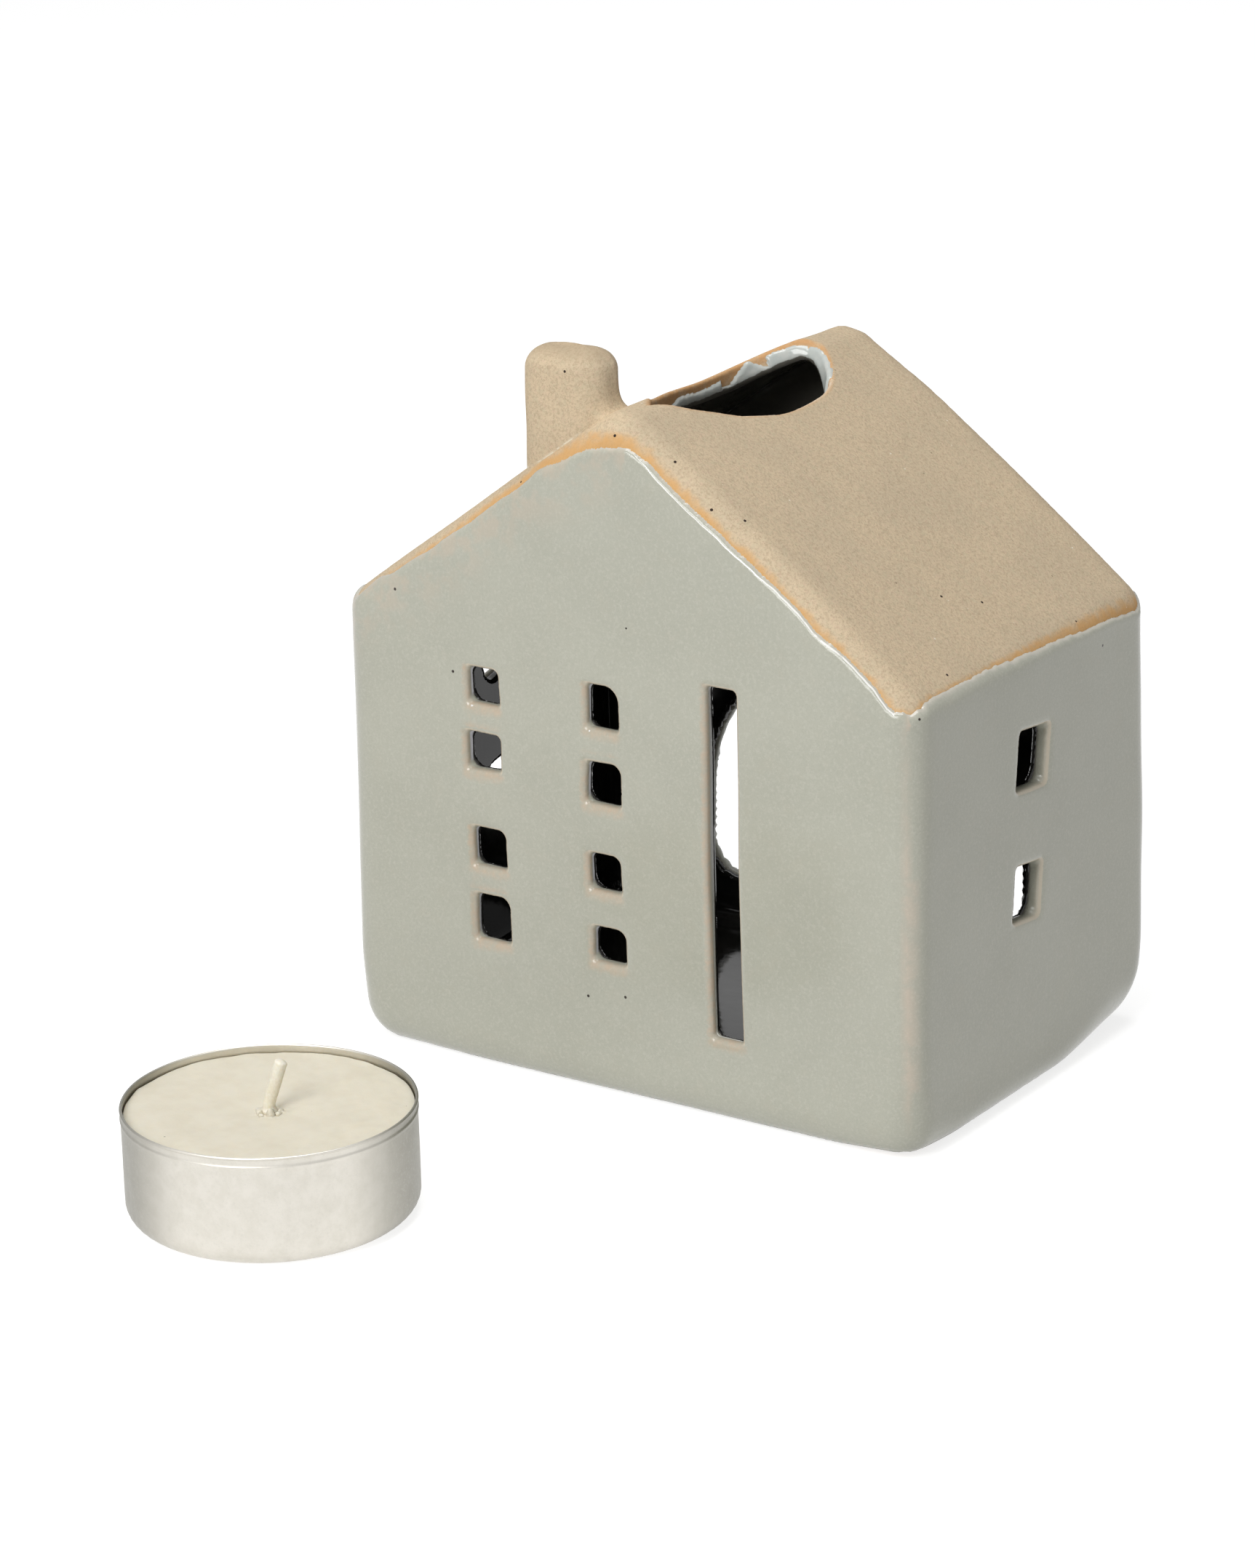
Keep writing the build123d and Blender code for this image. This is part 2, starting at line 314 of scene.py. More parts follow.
def small_cuts(points):
    """Distance from the windows and the door slot, worked out only near the walls that they are cut in."""
    cut = np.full(len(points), far_away)
    x, y, z = points.T
    from_front = y + half_depth
    from_side = half_width - np.abs(x)
    front = from_front < wall_depth_limit
    waver = knife_waver * swell(points[front][:, [0, 2]], 8, 12, 5)
    across, upward, depth = x[front], z[front], from_front[front]
    windows = cut_windows(across + waver, upward - waver, depth, front_windows)
    drift = 0.16 * swell(upward[:, None] * [[1.0, 0.0]], 34, 14, 6) + 0.3 * smooth_step(upward, 20, 50)
    slot = cut_windows(across + drift, upward, depth * 0.8, [slot_edges])
    cut[front] = np.maximum(np.minimum(windows, slot), depth - wall_depth_limit)
    for windows, side in ((right_windows, x > 0), (left_windows, x < 0)):
        side &= from_side < wall_depth_limit
        waver = knife_waver * swell(points[side][:, [1, 2]], 8, 13, 5)
        found = cut_crooked(y[side] + waver, z[side] - waver, from_side[side], windows)
        cut[side] = np.minimum(cut[side], np.maximum(found, from_side[side] - wall_depth_limit))
    return cut


arch_middle = 0.8
arch_half_width = 25.3
arch_spring = 21.1
arch_sill = 9
arch_sill_radius = 5.5
arch_start = 20
arch_left_share = 0.955


def arch_cut(points):
    x, y, z = points.T
    across = x - arch_middle + 0.12 * swell(points[:, [0, 2]], 18, 21, 5)
    across = np.where(across < 0, arch_left_share * across, across)
    above = np.maximum(z - arch_spring, 0)
    cut = soft_corner(np.hypot(across, above) - arch_half_width, arch_sill - z, arch_sill_radius)
    return np.maximum(cut, arch_start - y)


vent_half_width = 8.1
vent_widest = 3
vent_back_length = 14
vent_bottom = 55
flank_radius = 41.5
flank_offset = flank_radius - vent_half_width


def vent_outline(points):
    """Distance from the leaf shape of the vent, seen from above."""
    x, y, z = points.T
    along = y - vent_widest
    front_part = np.hypot(np.abs(x) + flank_offset, along) - flank_radius
    wide = x / vent_half_width
    deep = along / vent_back_length
    size = np.maximum(np.hypot(wide, deep), 1e-6)
    slope = np.maximum(np.hypot(wide / vent_half_width, deep / vent_back_length) / size, 1e-3)
    back_part = (size - 1) / slope
    bulge = 0.36 * np.exp(-((y + 10.8) / 3) ** 2) * smooth_step(x, 1, 3)
    return np.where(along < 0, front_part, back_part) - bulge + 0.2 * swell(points[:, :2], 9, 31, 5)


def vent_cut(points):
    """The vent's cut: upright, but the knife leaned at the back end, where the hole is smaller inside."""
    depth = np.clip(-outer_form(points), 0, 4)
    lean = 0.5 * smooth_step(points[:, 1], 8, 15)
    return np.maximum(vent_outline(points) + lean * depth, vent_bottom - points[:, 2])


lip_radius = 0.32
vent_lip_radius = 0.6


def clay_form(points, rough_lip=0.0):
    """The whole casting: a hollow block with every opening cut in it, and a soft lip on every edge."""
    wall = np.maximum(outer_form(points), -hollow_form(points))
    cuts = np.minimum(small_cuts(points), arch_cut(points))
    small = soft_corner(wall, -cuts, max(lip_radius, rough_lip))
    return soft_corner(small, -vent_cut(points), max(vent_lip_radius, rough_lip))


# %% [markdown]
# ## From the CAD casting to a clay skin
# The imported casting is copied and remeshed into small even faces, which keeps every hole where the CAD puts
# it. Then each point slides along the steepest way to the hand-made form. Triangles are split where detail
# is small, such as at a window lip, and stay large on flat walls. Modelling the walls as flat plates with
# holes would be quicker, but their lips and corners would stay as hard as card.

# %% Helpers for the skin
probe = 0.02
probe_ways = np.array([[1, -1, -1], [-1, -1, 1], [-1, 1, -1], [1, 1, 1]])
longest_slide = 0.7
too_long = 1.45


def steepest(form, points):
    """The direction in which the distance grows, measured with four probes round each point."""
    return sum(form(points + probe * way)[:, None] * way for way in probe_ways) / (4 * probe)


def settle(form, points, rounds):
    """Slides points to the surface of a form."""
    for _ in range(rounds):
        way = steepest(form, points)
        step = form(points) / np.maximum((way * way).sum(axis=1), 0.1)
        points = points - np.clip(step, -longest_slide, longest_slide)[:, None] * way
    return points


def unit(vectors):
    return vectors / np.maximum(np.linalg.norm(vectors, axis=1), 1e-9)[:, None]


def find_edges(triangles):
    """The edges of the triangles, each once, and for each side of each triangle the number of its edge."""
    sides = triangles[:, [0, 1, 1, 2, 2, 0]].reshape(-1, 2)
    sides = np.sort(sides, axis=1).astype(np.int64)
    keys, which = np.unique(sides[:, 0] << 32 | sides[:, 1], return_inverse=True)
    return np.column_stack((keys >> 32, keys & 0xFFFFFFFF)), which.reshape(-1, 3)


def split_long_edges(points, triangles, wanted_size):
    """Halves each edge that is too long for its place, and the triangles beside it."""
    edges, sides = find_edges(triangles)
    ends = points[edges]
    middles = ends.mean(axis=1)
    lengths = np.linalg.norm(ends[:, 0] - ends[:, 1], axis=1)
    halve = lengths > too_long * wanted_size(middles)
    longest = sides[np.arange(len(sides)), lengths[sides].argmax(axis=1)]
    while True:
        more = longest[halve[sides].any(axis=1)]
        if halve[more].all():
            break
        halve[more] = True
    new_number = np.where(halve, len(points) + np.cumsum(halve) - 1, -1)
    made = new_number[sides]
    count = (made >= 0).sum(axis=1)
    result = [triangles[count == 0]]
    for turns in range(3):
        corners = np.roll(triangles, -turns, axis=1)
        mids = np.roll(made, -turns, axis=1)
        one = (count == 1) & (mids[:, 0] >= 0)
        a, b, c = corners[one].T
        m = mids[one][:, 0]
        result += [np.column_stack((a, m, c)), np.column_stack((m, b, c))]
        two = (count == 2) & (mids[:, 2] < 0)
        a, b, c = corners[two].T
        m, n = mids[two][:, 0], mids[two][:, 1]
        result += [np.column_stack((m, b, n)), np.column_stack((a, m, n)), np.column_stack((a, n, c))]
    three = count == 3
    a, b, c = triangles[three].T
    m, n, o = made[three].T
    result += [np.column_stack(t) for t in ((a, m, o), (b, n, m), (c, o, n), (m, n, o))]
    return np.vstack((points, middles[halve])), np.vstack(result)


def neighbour_middles(points, edges):
    """For each point, the middle of the points that these edges join it to."""
    count = np.maximum(np.bincount(edges.ravel(), minlength=len(points)), 1)
    return np.column_stack([
        np.bincount(edges[:, 0], points[edges[:, 1], axis], len(points))
        + np.bincount(edges[:, 1], points[edges[:, 0], axis], len(points))
        for axis in range(3)
    ]) / count[:, None]


def even_out(points, triangles, form, rounds):
    """Slides points along the surface towards the middle of their neighbours, for well-shaped triangles."""
    edges, _ = find_edges(triangles)
    for _ in range(rounds):
        normal = unit(steepest(form, points))
        move = neighbour_middles(points, edges) - points
        move -= (move * normal).sum(axis=1)[:, None] * normal
        points = settle(form, points + 0.5 * move, 1)
    return points


# %% [markdown]
# ## Where the glaze ends
# The potter dipped the walls and wiped the roof and the foot. The glaze stops about two millimetres below
# the gable's edges, closer under the right eave, and in a round curve under the peak. The next function
# measures how far inside that line a point lies. It also keeps the coat out of the room and away from the
# vent.

# %% The glaze line
peak_rounding = 8.6
foot_stop = 0.32
longest_edge = 2.4
reveal_end = 0.45


def roof_drop(points):
    """How far below the roof planes a point lies, with a rounded peak."""
    x, _, z = slumped(points).T
    left_plane = (z - ridge - left_rise * x) / left_stretch
    right_plane = (z - ridge + right_rise * x) / right_stretch
    return -soft_corner(left_plane, right_plane, peak_rounding)


verge_drops = [
    (-42, 1.32), (-39, 1.14), (-36.4, 1.51), (-33.9, 1.73), (-31.3, 1.89), (-28.8, 2.02), (-24, 2.02),
    (-16.8, 2.12), (-14.5, 1.99), (-12.3, 1.74), (-9, 2.18), (-5.2, 2.95), (-2.6, 2.93), (0.3, 2.1),
    (1.3, 1.82), (2.3, 1.79), (4.0, 2.3), (6.2, 2.4), (10.6, 2.6), (14.9, 2.6), (21.4, 2.52), (24.5, 2.35),
    (27.8, 2.34), (30, 2.6), (30.8, 2.57), (33, 2.1), (36.2, 2.1), (38.3, 1.95), (39.4, 2.1), (40.6, 2.3),
    (41.6, 2.2), (42.6, 1.5),
]
eave_drops = [
    (-29.6, 1.65), (-28.9, 1.05), (-28, 0.55), (-26.6, 0.2), (-21, 0.15), (-14, 0.17), (-3, 0.31),
    (4, 0.58), (12, 0.93), (19, 1.23), (23, 1.43), (27, 1.7),
]


def read_off(table, place):
    """The value at a place, read from a table of (place, value) pairs with straight lines between them."""
    return np.interp(place, *zip(*table))


def glaze_line_drop(points):
    """How far below the roof's planes the glaze ends, as measured along the verges and the right eave."""
    x, y, z = points.T
    verge = read_off(verge_drops, x)
    eave = read_off(eave_drops, y)
    at_side = smooth_step(np.abs(x) - half_width, -2.4, -1.2)
    uneven = (0.05 + 0.05 * (x < 0)) * swell(points, 5, 41, 6) + 0.035 * swell(points, 1.6, 42, 6)
    return verge * (1 - at_side) + eave * at_side + uneven


def liner_reach_at(points):
    """How far the dark liner comes out through the openings: furthest in the left wall."""
    return reveal_end + 1.0 * smooth_step(-points[:, 0], 38, 41)


def inside_glaze(points):
    """How far inside the outer glaze a point of the skin lies, in mm."""
    under_roof = roof_drop(points) - glaze_line_drop(points)
    bare_corner = smooth_step(points[:, 0] - points[:, 1], 56, 70)
    over_foot = points[:, 2] - foot_stop - 0.6 * bare_corner - 0.06 * swell(points, 9, 43)
    from_room = hollow_form(points) - liner_reach_at(points)
    from_vent = vent_outline(points) - 2
    return np.minimum(np.minimum(under_roof, over_foot), np.minimum(from_room, from_vent))


def clay_detail(points):
    """How long an edge may be at a place: short at lips and glaze lines, long on flat walls."""
    small = small_cuts(points)
    wall = np.maximum(outer_form(points), -hollow_form(points))
    outside = outer_form(points) > -0.6
    from_line = np.abs(roof_drop(points) - glaze_line_drop(points) - 0.15)
    size = np.full(len(points), longest_edge)
    for near, longest in (
        (np.hypot(small, np.minimum(wall, 0)) < 0.8, 0.25),
        (np.abs(small) < 0.5, 0.5),
        (np.hypot(arch_cut(points), wall) < 0.8, 0.6),
        (np.abs(vent_cut(points)) < 0.8, 0.32),
        (outside & (from_line < 0.55), 0.27),
        (outside & (np.abs(points[:, 2] - foot_stop) < 0.5), 0.9),
    ):
        size = np.where(near, np.minimum(size, longest), size)
    return size


# %% [markdown]
# ## Pressing the skin
# The cuts that stand a little off their CAD places are brought close first, so that no lip has to jump. The
# skin then goes through four passes, from coarse triangles and wide lips to fine triangles and sharp lips.
# Each pass slides the points on to the form and evens them out. At the end, the few triangles that lie
# folded over are mended. A cloth or shrinkwrap modifier would be shorter, but it rounds off the windows'
# corners.

# %% Press the skin on to the form
def triangles_of(mesh):
    mesh.calc_loop_triangles()
    corners = np.empty(len(mesh.loop_triangles) * 3, np.int64)
    mesh.loop_triangles.foreach_get("vertices", corners)
    return corners.reshape(-1, 3)


def remeshed_copy(node, voxel):
    """Points and triangles of an even skin round a copy of a CAD node, in mm."""
    copy = add_object("rough_" + node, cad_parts[node].data.copy())
    remesh = copy.modifiers.new("even skin", "REMESH")
    remesh.mode = "VOXEL"
    remesh.voxel_size = voxel * MM
    graph = bpy.context.evaluated_depsgraph_get()
    skin = bpy.data.meshes.new_from_object(copy.evaluated_get(graph))
    points = np.empty(len(skin.vertices) * 3)
    skin.vertices.foreach_get("co", points)
    triangles = triangles_of(skin)
    bpy.data.objects.remove(copy)
    bpy.data.meshes.remove(skin)
    return points.reshape(-1, 3) / MM, triangles


def bring_close(points):
    """Slides the CAD's skin near to the hand-made form: the front cuts, the side windows, the roof."""
    x, y, z = points.T
    near_front = smooth_step(-y, 23, 26.5)
    at_windows = near_front * smooth_step(x, -37, -27) * smooth_step(-x, -11, -3)
    at_slot = near_front * smooth_step(x, 8, 12) * smooth_step(-x, -26, -20)
    moved = np.column_stack((x - 0.6 * at_windows - 0.3 * at_slot, y, z - 0.15 * at_windows))
    for windows, side in ((right_windows, 1), (left_windows, -1)):
        for middle_along, middle_up, _, _, tilt in windows:
            aside, over = y - middle_along, z - middle_up
            near = smooth_step(side * x, 40, 41.5) * smooth_step(-np.hypot(aside, over), -9.5, -6.5)
            turn_by = np.radians(tilt) * near
            moved[:, 1] += np.cos(turn_by) * aside + np.sin(turn_by) * over - aside
            moved[:, 2] += np.cos(turn_by) * over - np.sin(turn_by) * aside - over
    moved[:, 2] += (z - slumped(points)[:, 2]) * smooth_step(z, 61, 66)
    return moved


def swap_edges(points, triangles):
    """Swaps the edge between two triangles wherever that makes the surface smoother."""
    mesh = bpy.data.meshes.new("skin")
    mesh.from_pydata(points, [], triangles)
    skin = bmesh.new()
    skin.from_mesh(mesh)
    bmesh.ops.beautify_fill(skin, faces=skin.faces[:], edges=skin.edges[:], method="ANGLE")
    skin.to_mesh(mesh)
    skin.free()
    swapped = triangles_of(mesh)
    bpy.data.meshes.remove(mesh)
    return swapped


def mend_folds(points, triangles, rounds):
    """Finds triangles that lie folded over, and draws their corners to the middle of their neighbours."""
    edges, _ = find_edges(triangles)
    watched = triangles
    for attempt in range(rounds):
        a, b, c = (points[watched[:, corner]] for corner in range(3))
        middles = (a + b + c) / 3
        facing = (unit(np.cross(b - a, c - a)) * unit(steepest(clay_form, middles))).sum(axis=1)
        folded = (facing < 0.2) | (np.abs(clay_form(middles)) > 0.3)
        print("folded triangles:", int(folded.sum()))
        if not folded.any():
            break
        loose = np.zeros(len(points), bool)
        loose[watched[folded]] = True
        for _ in range(1 + attempt // 2):
            loose[edges[loose[edges].any(axis=1)]] = True
        watched = triangles[loose[triangles].any(axis=1)]
        near = edges[loose[edges].any(axis=1)]
        for _ in range(3 + attempt):
            points = np.where(loose[:, None], neighbour_middles(points, near), points)
        points[loose] = settle(clay_form, points[loose], 2)
    return points


clay_points, clay_triangles = remeshed_copy("house_shell", 1.2)
clay_points = bring_close(clay_points)
for lip, finest, settle_rounds, even_rounds, swapping in (
    (0.9, 0, 4, 3, True), (0.6, 0.55, 3, 2, False), (0, 0.24, 3, 0, False), (0, 0.24, 2, 2, True)
):
    def lipped_form(points):
        return clay_form(points, lip)

    if finest:
        clay_points, clay_triangles = split_long_edges(
            clay_points, clay_triangles, lambda at: np.maximum(clay_detail(at), finest)
        )
    clay_points = settle(lipped_form, clay_points, settle_rounds)
    clay_points = even_out(clay_points, clay_triangles, lipped_form, even_rounds)
    if swapping:
        clay_triangles = swap_edges(clay_points, clay_triangles)
    seconds = round(time.perf_counter() - started, 1)
    print("lip", lip, "gives", len(clay_triangles), "triangles at", seconds, "s")
clay_points = settle(clay_form, mend_folds(clay_points, clay_triangles, 8), 1)
clay_normals = unit(steepest(clay_form, clay_points))
x, y, z = clay_points.T

# %% [markdown]
# ## The clay casting
# The skin becomes a Blender mesh. Along with it go numbers for each point, such as how far it lies beyond
# the glaze line. The materials read them later, so that a stain follows the form and not a picture.

# %% Make a piece from points and faces
def make_piece(name, points, faces, body, slot, *nodes):
    """A smooth mesh in metres that moves with a CAD body and stands for CAD nodes."""
    mesh = bpy.data.meshes.new(name)
    mesh.from_pydata(np.asarray(points) * MM, [], faces)
    mesh.validate()
    mesh.shade_smooth()
    piece = add_object(name, mesh)
    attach(piece, body)
    if nodes:
        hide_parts(*nodes)
    print(name, len(mesh.vertices), "points", len(mesh.polygons), "faces")
    return piece


def store(piece, used=None, **attributes):
    """Keeps numbers for each point, for the materials; used picks the points of a coat's two layers."""
    for name, values in attributes.items():
        if used is not None:
            values = np.tile(values[used], 2)
        layer = piece.data.attributes.new(name, "FLOAT", "POINT")
        layer.data.foreach_set("value", np.ascontiguousarray(values, np.float32))


clay_casting = make_piece("clay_casting", clay_points, clay_triangles, "house", "bare_clay", "house_shell")
below_line = roof_drop(clay_points) - glaze_line_drop(clay_points)
from_walls = np.minimum(half_depth - np.abs(y), half_width - np.abs(x))
vent_gap = vent_outline(clay_points)
wall_depth = -outer_form(clay_points)
at_lip = np.hypot(vent_gap, np.maximum(wall_depth, 0))
band_widths = [
    (-45, 0.9), (-30, 0.9), (-16, 1.3), (-10, 1.7), (-3, 1.9), (3, 1.6), (9, 1.1), (16, 0.9), (45, 0.9),
]
store(
    clay_casting,
    beyond_glaze=np.clip(np.maximum(from_walls - 0.4, 0) * 0.9 - below_line, -3, 12),
    vent_face=smooth_step(-np.abs(vent_gap), -0.9, -0.1) * (z > 60),
    # Painted highlight: a pale line along the near rim of the vent.
    vent_lip=smooth_step(-at_lip, -0.5, -0.15) * (x > 1) * (y < 12) * (z > 62),
    foot_face=smooth_step(-z, -3, -0.6),
    band_width=read_off(band_widths, x),
)

# %% [markdown]
# ## Growing a glaze coat on the skin
# Glaze melts into a layer of glass. Over clay it is even, at its end it stops in a small round roll, and it
# is thin on sharp lips. The coat is a copy of the part of the skin that it covers, lifted along the skin's
# normals by its thickness. Beyond its line it dives under the clay, so that the line which the eye sees is
# where two real surfaces cross. An inner layer closes the mesh.

# %% Coats
coat_roll = 0.5
coat_margin = 0.35
coat_dive = 0.1
coat_root = 0.22


def grow_coat(name, cover, thickness, slot, node):
    """A closed coat over the part of the clay skin where cover is above zero."""
    kept = clay_triangles[(cover[clay_triangles] > -coat_margin).any(axis=1)]
    used, triangles = np.unique(kept, return_inverse=True)
    triangles = triangles.reshape(-1, 3)
    points, normals = clay_points[used], clay_normals[used]
    share = np.clip((cover[used] + 0.08) / coat_roll, 0, 1)
    round_edge = np.sqrt(1 - (1 - share) ** 2)
    lift = -coat_dive + (thickness[used] + coat_dive) * round_edge
    sides = triangles[:, [0, 1, 1, 2, 2, 0]].reshape(-1, 2)
    order = {tuple(side): True for side in sides.tolist()}
    a, b = np.array([side for side in order if side[::-1] not in order]).reshape(-1, 2).T
    count = len(points)
    walls = np.vstack((np.column_stack((b, a, a + count)), np.column_stack((b, a + count, b + count))))
    faces = np.vstack((triangles, triangles[:, ::-1] + count, walls))
    layers = np.vstack((points + lift[:, None] * normals, points - coat_root * normals))
    return make_piece(name, layers, faces, "house", slot, node), used


def thin_out(piece, share):
    """Joins triangles where a piece is flattest, until this share of them is left."""
    piece.modifiers.new("thin out", "DECIMATE").ratio = share
    graph = bpy.context.evaluated_depsgraph_get()
    full_mesh = piece.data
    thin_mesh = bpy.data.meshes.new_from_object(piece.evaluated_get(graph))
    piece.modifiers.clear()
    piece.data = thin_mesh
    bpy.data.meshes.remove(full_mesh)
    thin_mesh.name = piece.name
    print(piece.name, "thinned to", len(thin_mesh.polygons), "faces")


outer_cover = inside_glaze(clay_points)
window_gap = small_cuts(clay_points)
on_lip = np.exp(-(np.hypot(window_gap, wall_depth) / 0.55) ** 2)
edge_roll = 0.06 * np.exp(-((outer_cover - 0.6) / 0.35) ** 2) * (wall_depth < 0.5) * (y < 28)
glaze_lift = glaze_thickness * (1 - 0.3 * on_lip) + edge_roll
glaze_coat, glaze_used = grow_coat("glaze_coat", outer_cover, glaze_lift, "pale_glaze", "wall_glaze")

on_front = y < -half_depth + 2.6
beside_window, under_window, lit_reveal = np.zeros((3, len(x)))
for low_side, high_side, bottom, top, _ in front_windows + [slot_edges]:
    in_height = smooth_step(z, bottom - 0.6, bottom + 0.4) * smooth_step(-z, -top - 0.5, -top + 0.2)
    in_width = smooth_step(x, low_side - 0.9, low_side + 0.1)
    in_width *= smooth_step(-x, -high_side - 0.9, -high_side + 0.1)
    to_left = smooth_step(-x, -low_side - 0.5, -low_side + 0.1) * (x > low_side - 2)
    below = smooth_step(-z, -bottom - 0.5, -bottom + 0.1) * (z > bottom - 3)
    beside_window = np.maximum(beside_window, in_height * to_left)
    under_window = np.maximum(under_window, in_width * below)
    # lit_reveal marks the left reveals, which are painted paler for the window light that they face: painted
    # light.
    weight = 0.5 * smooth_step(z, 28, 40) if low_side > 0 else 1
    weight = weight * (np.abs(x - low_side) < 1.3) * (z < top + 0.3)
    lit_reveal += weight * smooth_step(z, bottom + 0.7, bottom + 1.5)
# Painted highlight: where the lamp's gleam lies in the rolled glaze under the roof's right front edge.
gleam_place = read_off([(3.5, 0.2), (6, 0.5), (12, 0.55), (20, 0.4), (24, 0.22), (44, 0.2)], x)
gleam_width = read_off([(3.5, 0.025), (8, 0.055), (20, 0.06), (26, 0.09), (44, 0.09)], x)
gleam = np.where(on_front & (x > 3.2) & (x < 41.8), (outer_cover - gleam_place) / gleam_width, 40)
store(
    glaze_coat,
    glaze_used,
    beside_window=beside_window * on_front,
    under_window=under_window * on_front,
    lit_reveal=np.clip(lit_reveal, 0, 1) * on_front,
    near_edge_stripe=np.exp(-((x - 43.4) / 0.5) ** 2) * (y < -29.3),
    below_line=np.where(on_front & (x < 2), np.clip(below_line, -1, 12), 12),
    gleam=np.clip(gleam, -40, 40),
    window_gap=np.clip(window_gap, -3, 8),
    wall_depth=np.clip(wall_depth, -1, 4),
    from_edge=np.clip(outer_cover, -1, 8),
)
thin_out(glaze_coat, 0.88)

# %% [markdown]
# ## The dark liner
# The room was filled with a black glaze and emptied again. It reaches a little way out through each
# opening, and at the vent it has run over the edge in uneven tongues, whose heights were read round the
# hole.

# %% The dark liner
room_distance = hollow_form(clay_points)
near_vent = smooth_step(-np.abs(vent_gap), -1.6, -0.4) * (z > 62)
tongues = [
    (-7, 0.45), (-6, 0.7), (-3.8, 1.25), (2.3, 1.1), (6.6, 1.25), (6.9, 0.45), (8.4, 0.45), (9.5, 1.25),
    (11.2, 2.25), (11.8, 1.7), (12.9, 0.5), (13.2, 0.5), (13.4, 1.85), (14, 1.85), (16, 1.6), (17.1, 1.3),
    (17.5, 1.9), (18.6, 2.1), (20.6, 2.35), (22, 2.2), (23.6, 0.45),
]
tongue = read_off(tongues, np.where(x < 0, y, 34.2 - y)) + 0.05 * swell(clay_points, 1.4, 51)
liner_reach = liner_reach_at(clay_points) + near_vent * np.maximum(tongue - reveal_end, 0)
liner_coat, liner_used = grow_coat(
    "liner_coat", liner_reach - room_distance, np.full(len(x), liner_thickness), "dark_glaze", "liner_glaze"
)
store(
    liner_coat,
    liner_used,
    near_vent=near_vent,
    room_distance=np.clip(room_distance, -1, 3),
    # Painted light: the liner is painted lighter high under the roof, where light falls in through the vent.
    under_roof=smooth_step(z, 58, 74),
)
print("coats grown", round(time.perf_counter() - started, 1), "s")

# %% [markdown]
# ## The chimney
# The chimney is a stub of the same clay, pressed on by hand. Its sides lean a little to the left, its top
# is rounded like a thumb, and its foot follows the slope. It is built from rings. For each of its upright
# lines, the foot is found by halving: the height at which the line dips under the clay of the roof.

# %% Build the chimney
chimney_foot_middle = np.array([-9.65, -24.8])
chimney_foot_half = np.array([6.8, 4.0])
chimney_top_half = np.array([6.15, 3.7])
chimney_lean = -0.7
chimney_squareness = 2 / 3.2
chimney_top = 101.5
chimney_top_radius = 3.2
chimney_dome = 0.3
chimney_sides = 120
chimney_base = 84
dent_depth = 0.16


def chimney_ring(angles, height, shrink, flare):
    """One ring of the chimney at a height given for each of its points."""
    share = np.clip((height - chimney_base) / (chimney_top - chimney_base), 0, 1)[:, None]
    half = chimney_foot_half * (1 - share) + chimney_top_half * share
    half = np.maximum(half + flare[:, None] - shrink, 0.02)
    across = np.column_stack((np.cos(angles), np.sin(angles)))
    outline = np.sign(across) * np.abs(across) ** chimney_squareness * half
    corner = np.clip((across @ np.array([0.8, -0.6]) - 0.7) / 0.3, 0, 1)
    outline *= 1 - 0.13 * (corner * share[:, 0])[:, None]
    ring = np.column_stack((chimney_foot_middle + outline, height))
    ring[:, 0] += chimney_lean * share[:, 0]
    ring[:, 2] += (0.05 * across[:, 0] * half[:, 0] - 0.09) * share[:, 0] ** 3
    dents = np.clip(dent_depth * swell(ring, 8, 61), -dent_depth, dent_depth)
    ring[:, :2] -= (dent_depth + dents)[:, None] * across
    return ring


angles = np.linspace(0, 2 * np.pi, chimney_sides, endpoint=False)
flare_reach = 0.02 + 1.2 * smooth_step(np.sin(angles) * 0.8 + np.cos(angles) * 0.6, -0.35, 0.6)
low = np.full(chimney_sides, 76.0)
high = np.full(chimney_sides, 97.0)
for _ in range(24):
    middle = (low + high) / 2
    buried = outer_form(chimney_ring(angles, middle, 0, flare_reach)) < -0.3
    low = np.where(buried, middle, low)
    high = np.where(buried, high, middle)
foot_height = (low + high) / 2
shoulder = chimney_top - chimney_top_radius
rings = [chimney_ring(angles, foot_height - 0.8, 0, flare_reach)]
for share in np.linspace(0, 1, 34) ** 1.7:
    height = foot_height + (shoulder - foot_height) * share
    rings.append(chimney_ring(angles, height, 0, flare_reach * np.exp((foot_height - height) / 0.9)))
for bend in np.linspace(0, np.pi / 2, 12)[1:]:
    height = np.full(chimney_sides, shoulder + (chimney_top_radius - 0.25) * math.sin(bend))
    rings.append(chimney_ring(angles, height, chimney_top_radius * (1 - math.cos(bend)), 0 * angles))
top_ring = rings[-1]
top_middle = top_ring.mean(axis=0)
for share in (0.8, 0.6, 0.4, 0.2):
    rings.append(top_middle + (top_ring - top_middle) * share + (0, 0, chimney_dome * (1 - share ** 2)))


def close_rings(points, sides, foot, top):
    """Points and faces of a closed form: rings joined by quads, and a fan round a point at each end."""
    count, last = len(points), len(points) - sides
    faces = []
    for a in range(sides):
        b = (a + 1) % sides
        for start in range(0, last, sides):
            faces.append((start + a, start + b, start + sides + b, start + sides + a))
        faces += [(b, a, count), (last + a, last + b, count + 1)]
    return np.vstack((points, [foot, top])), faces


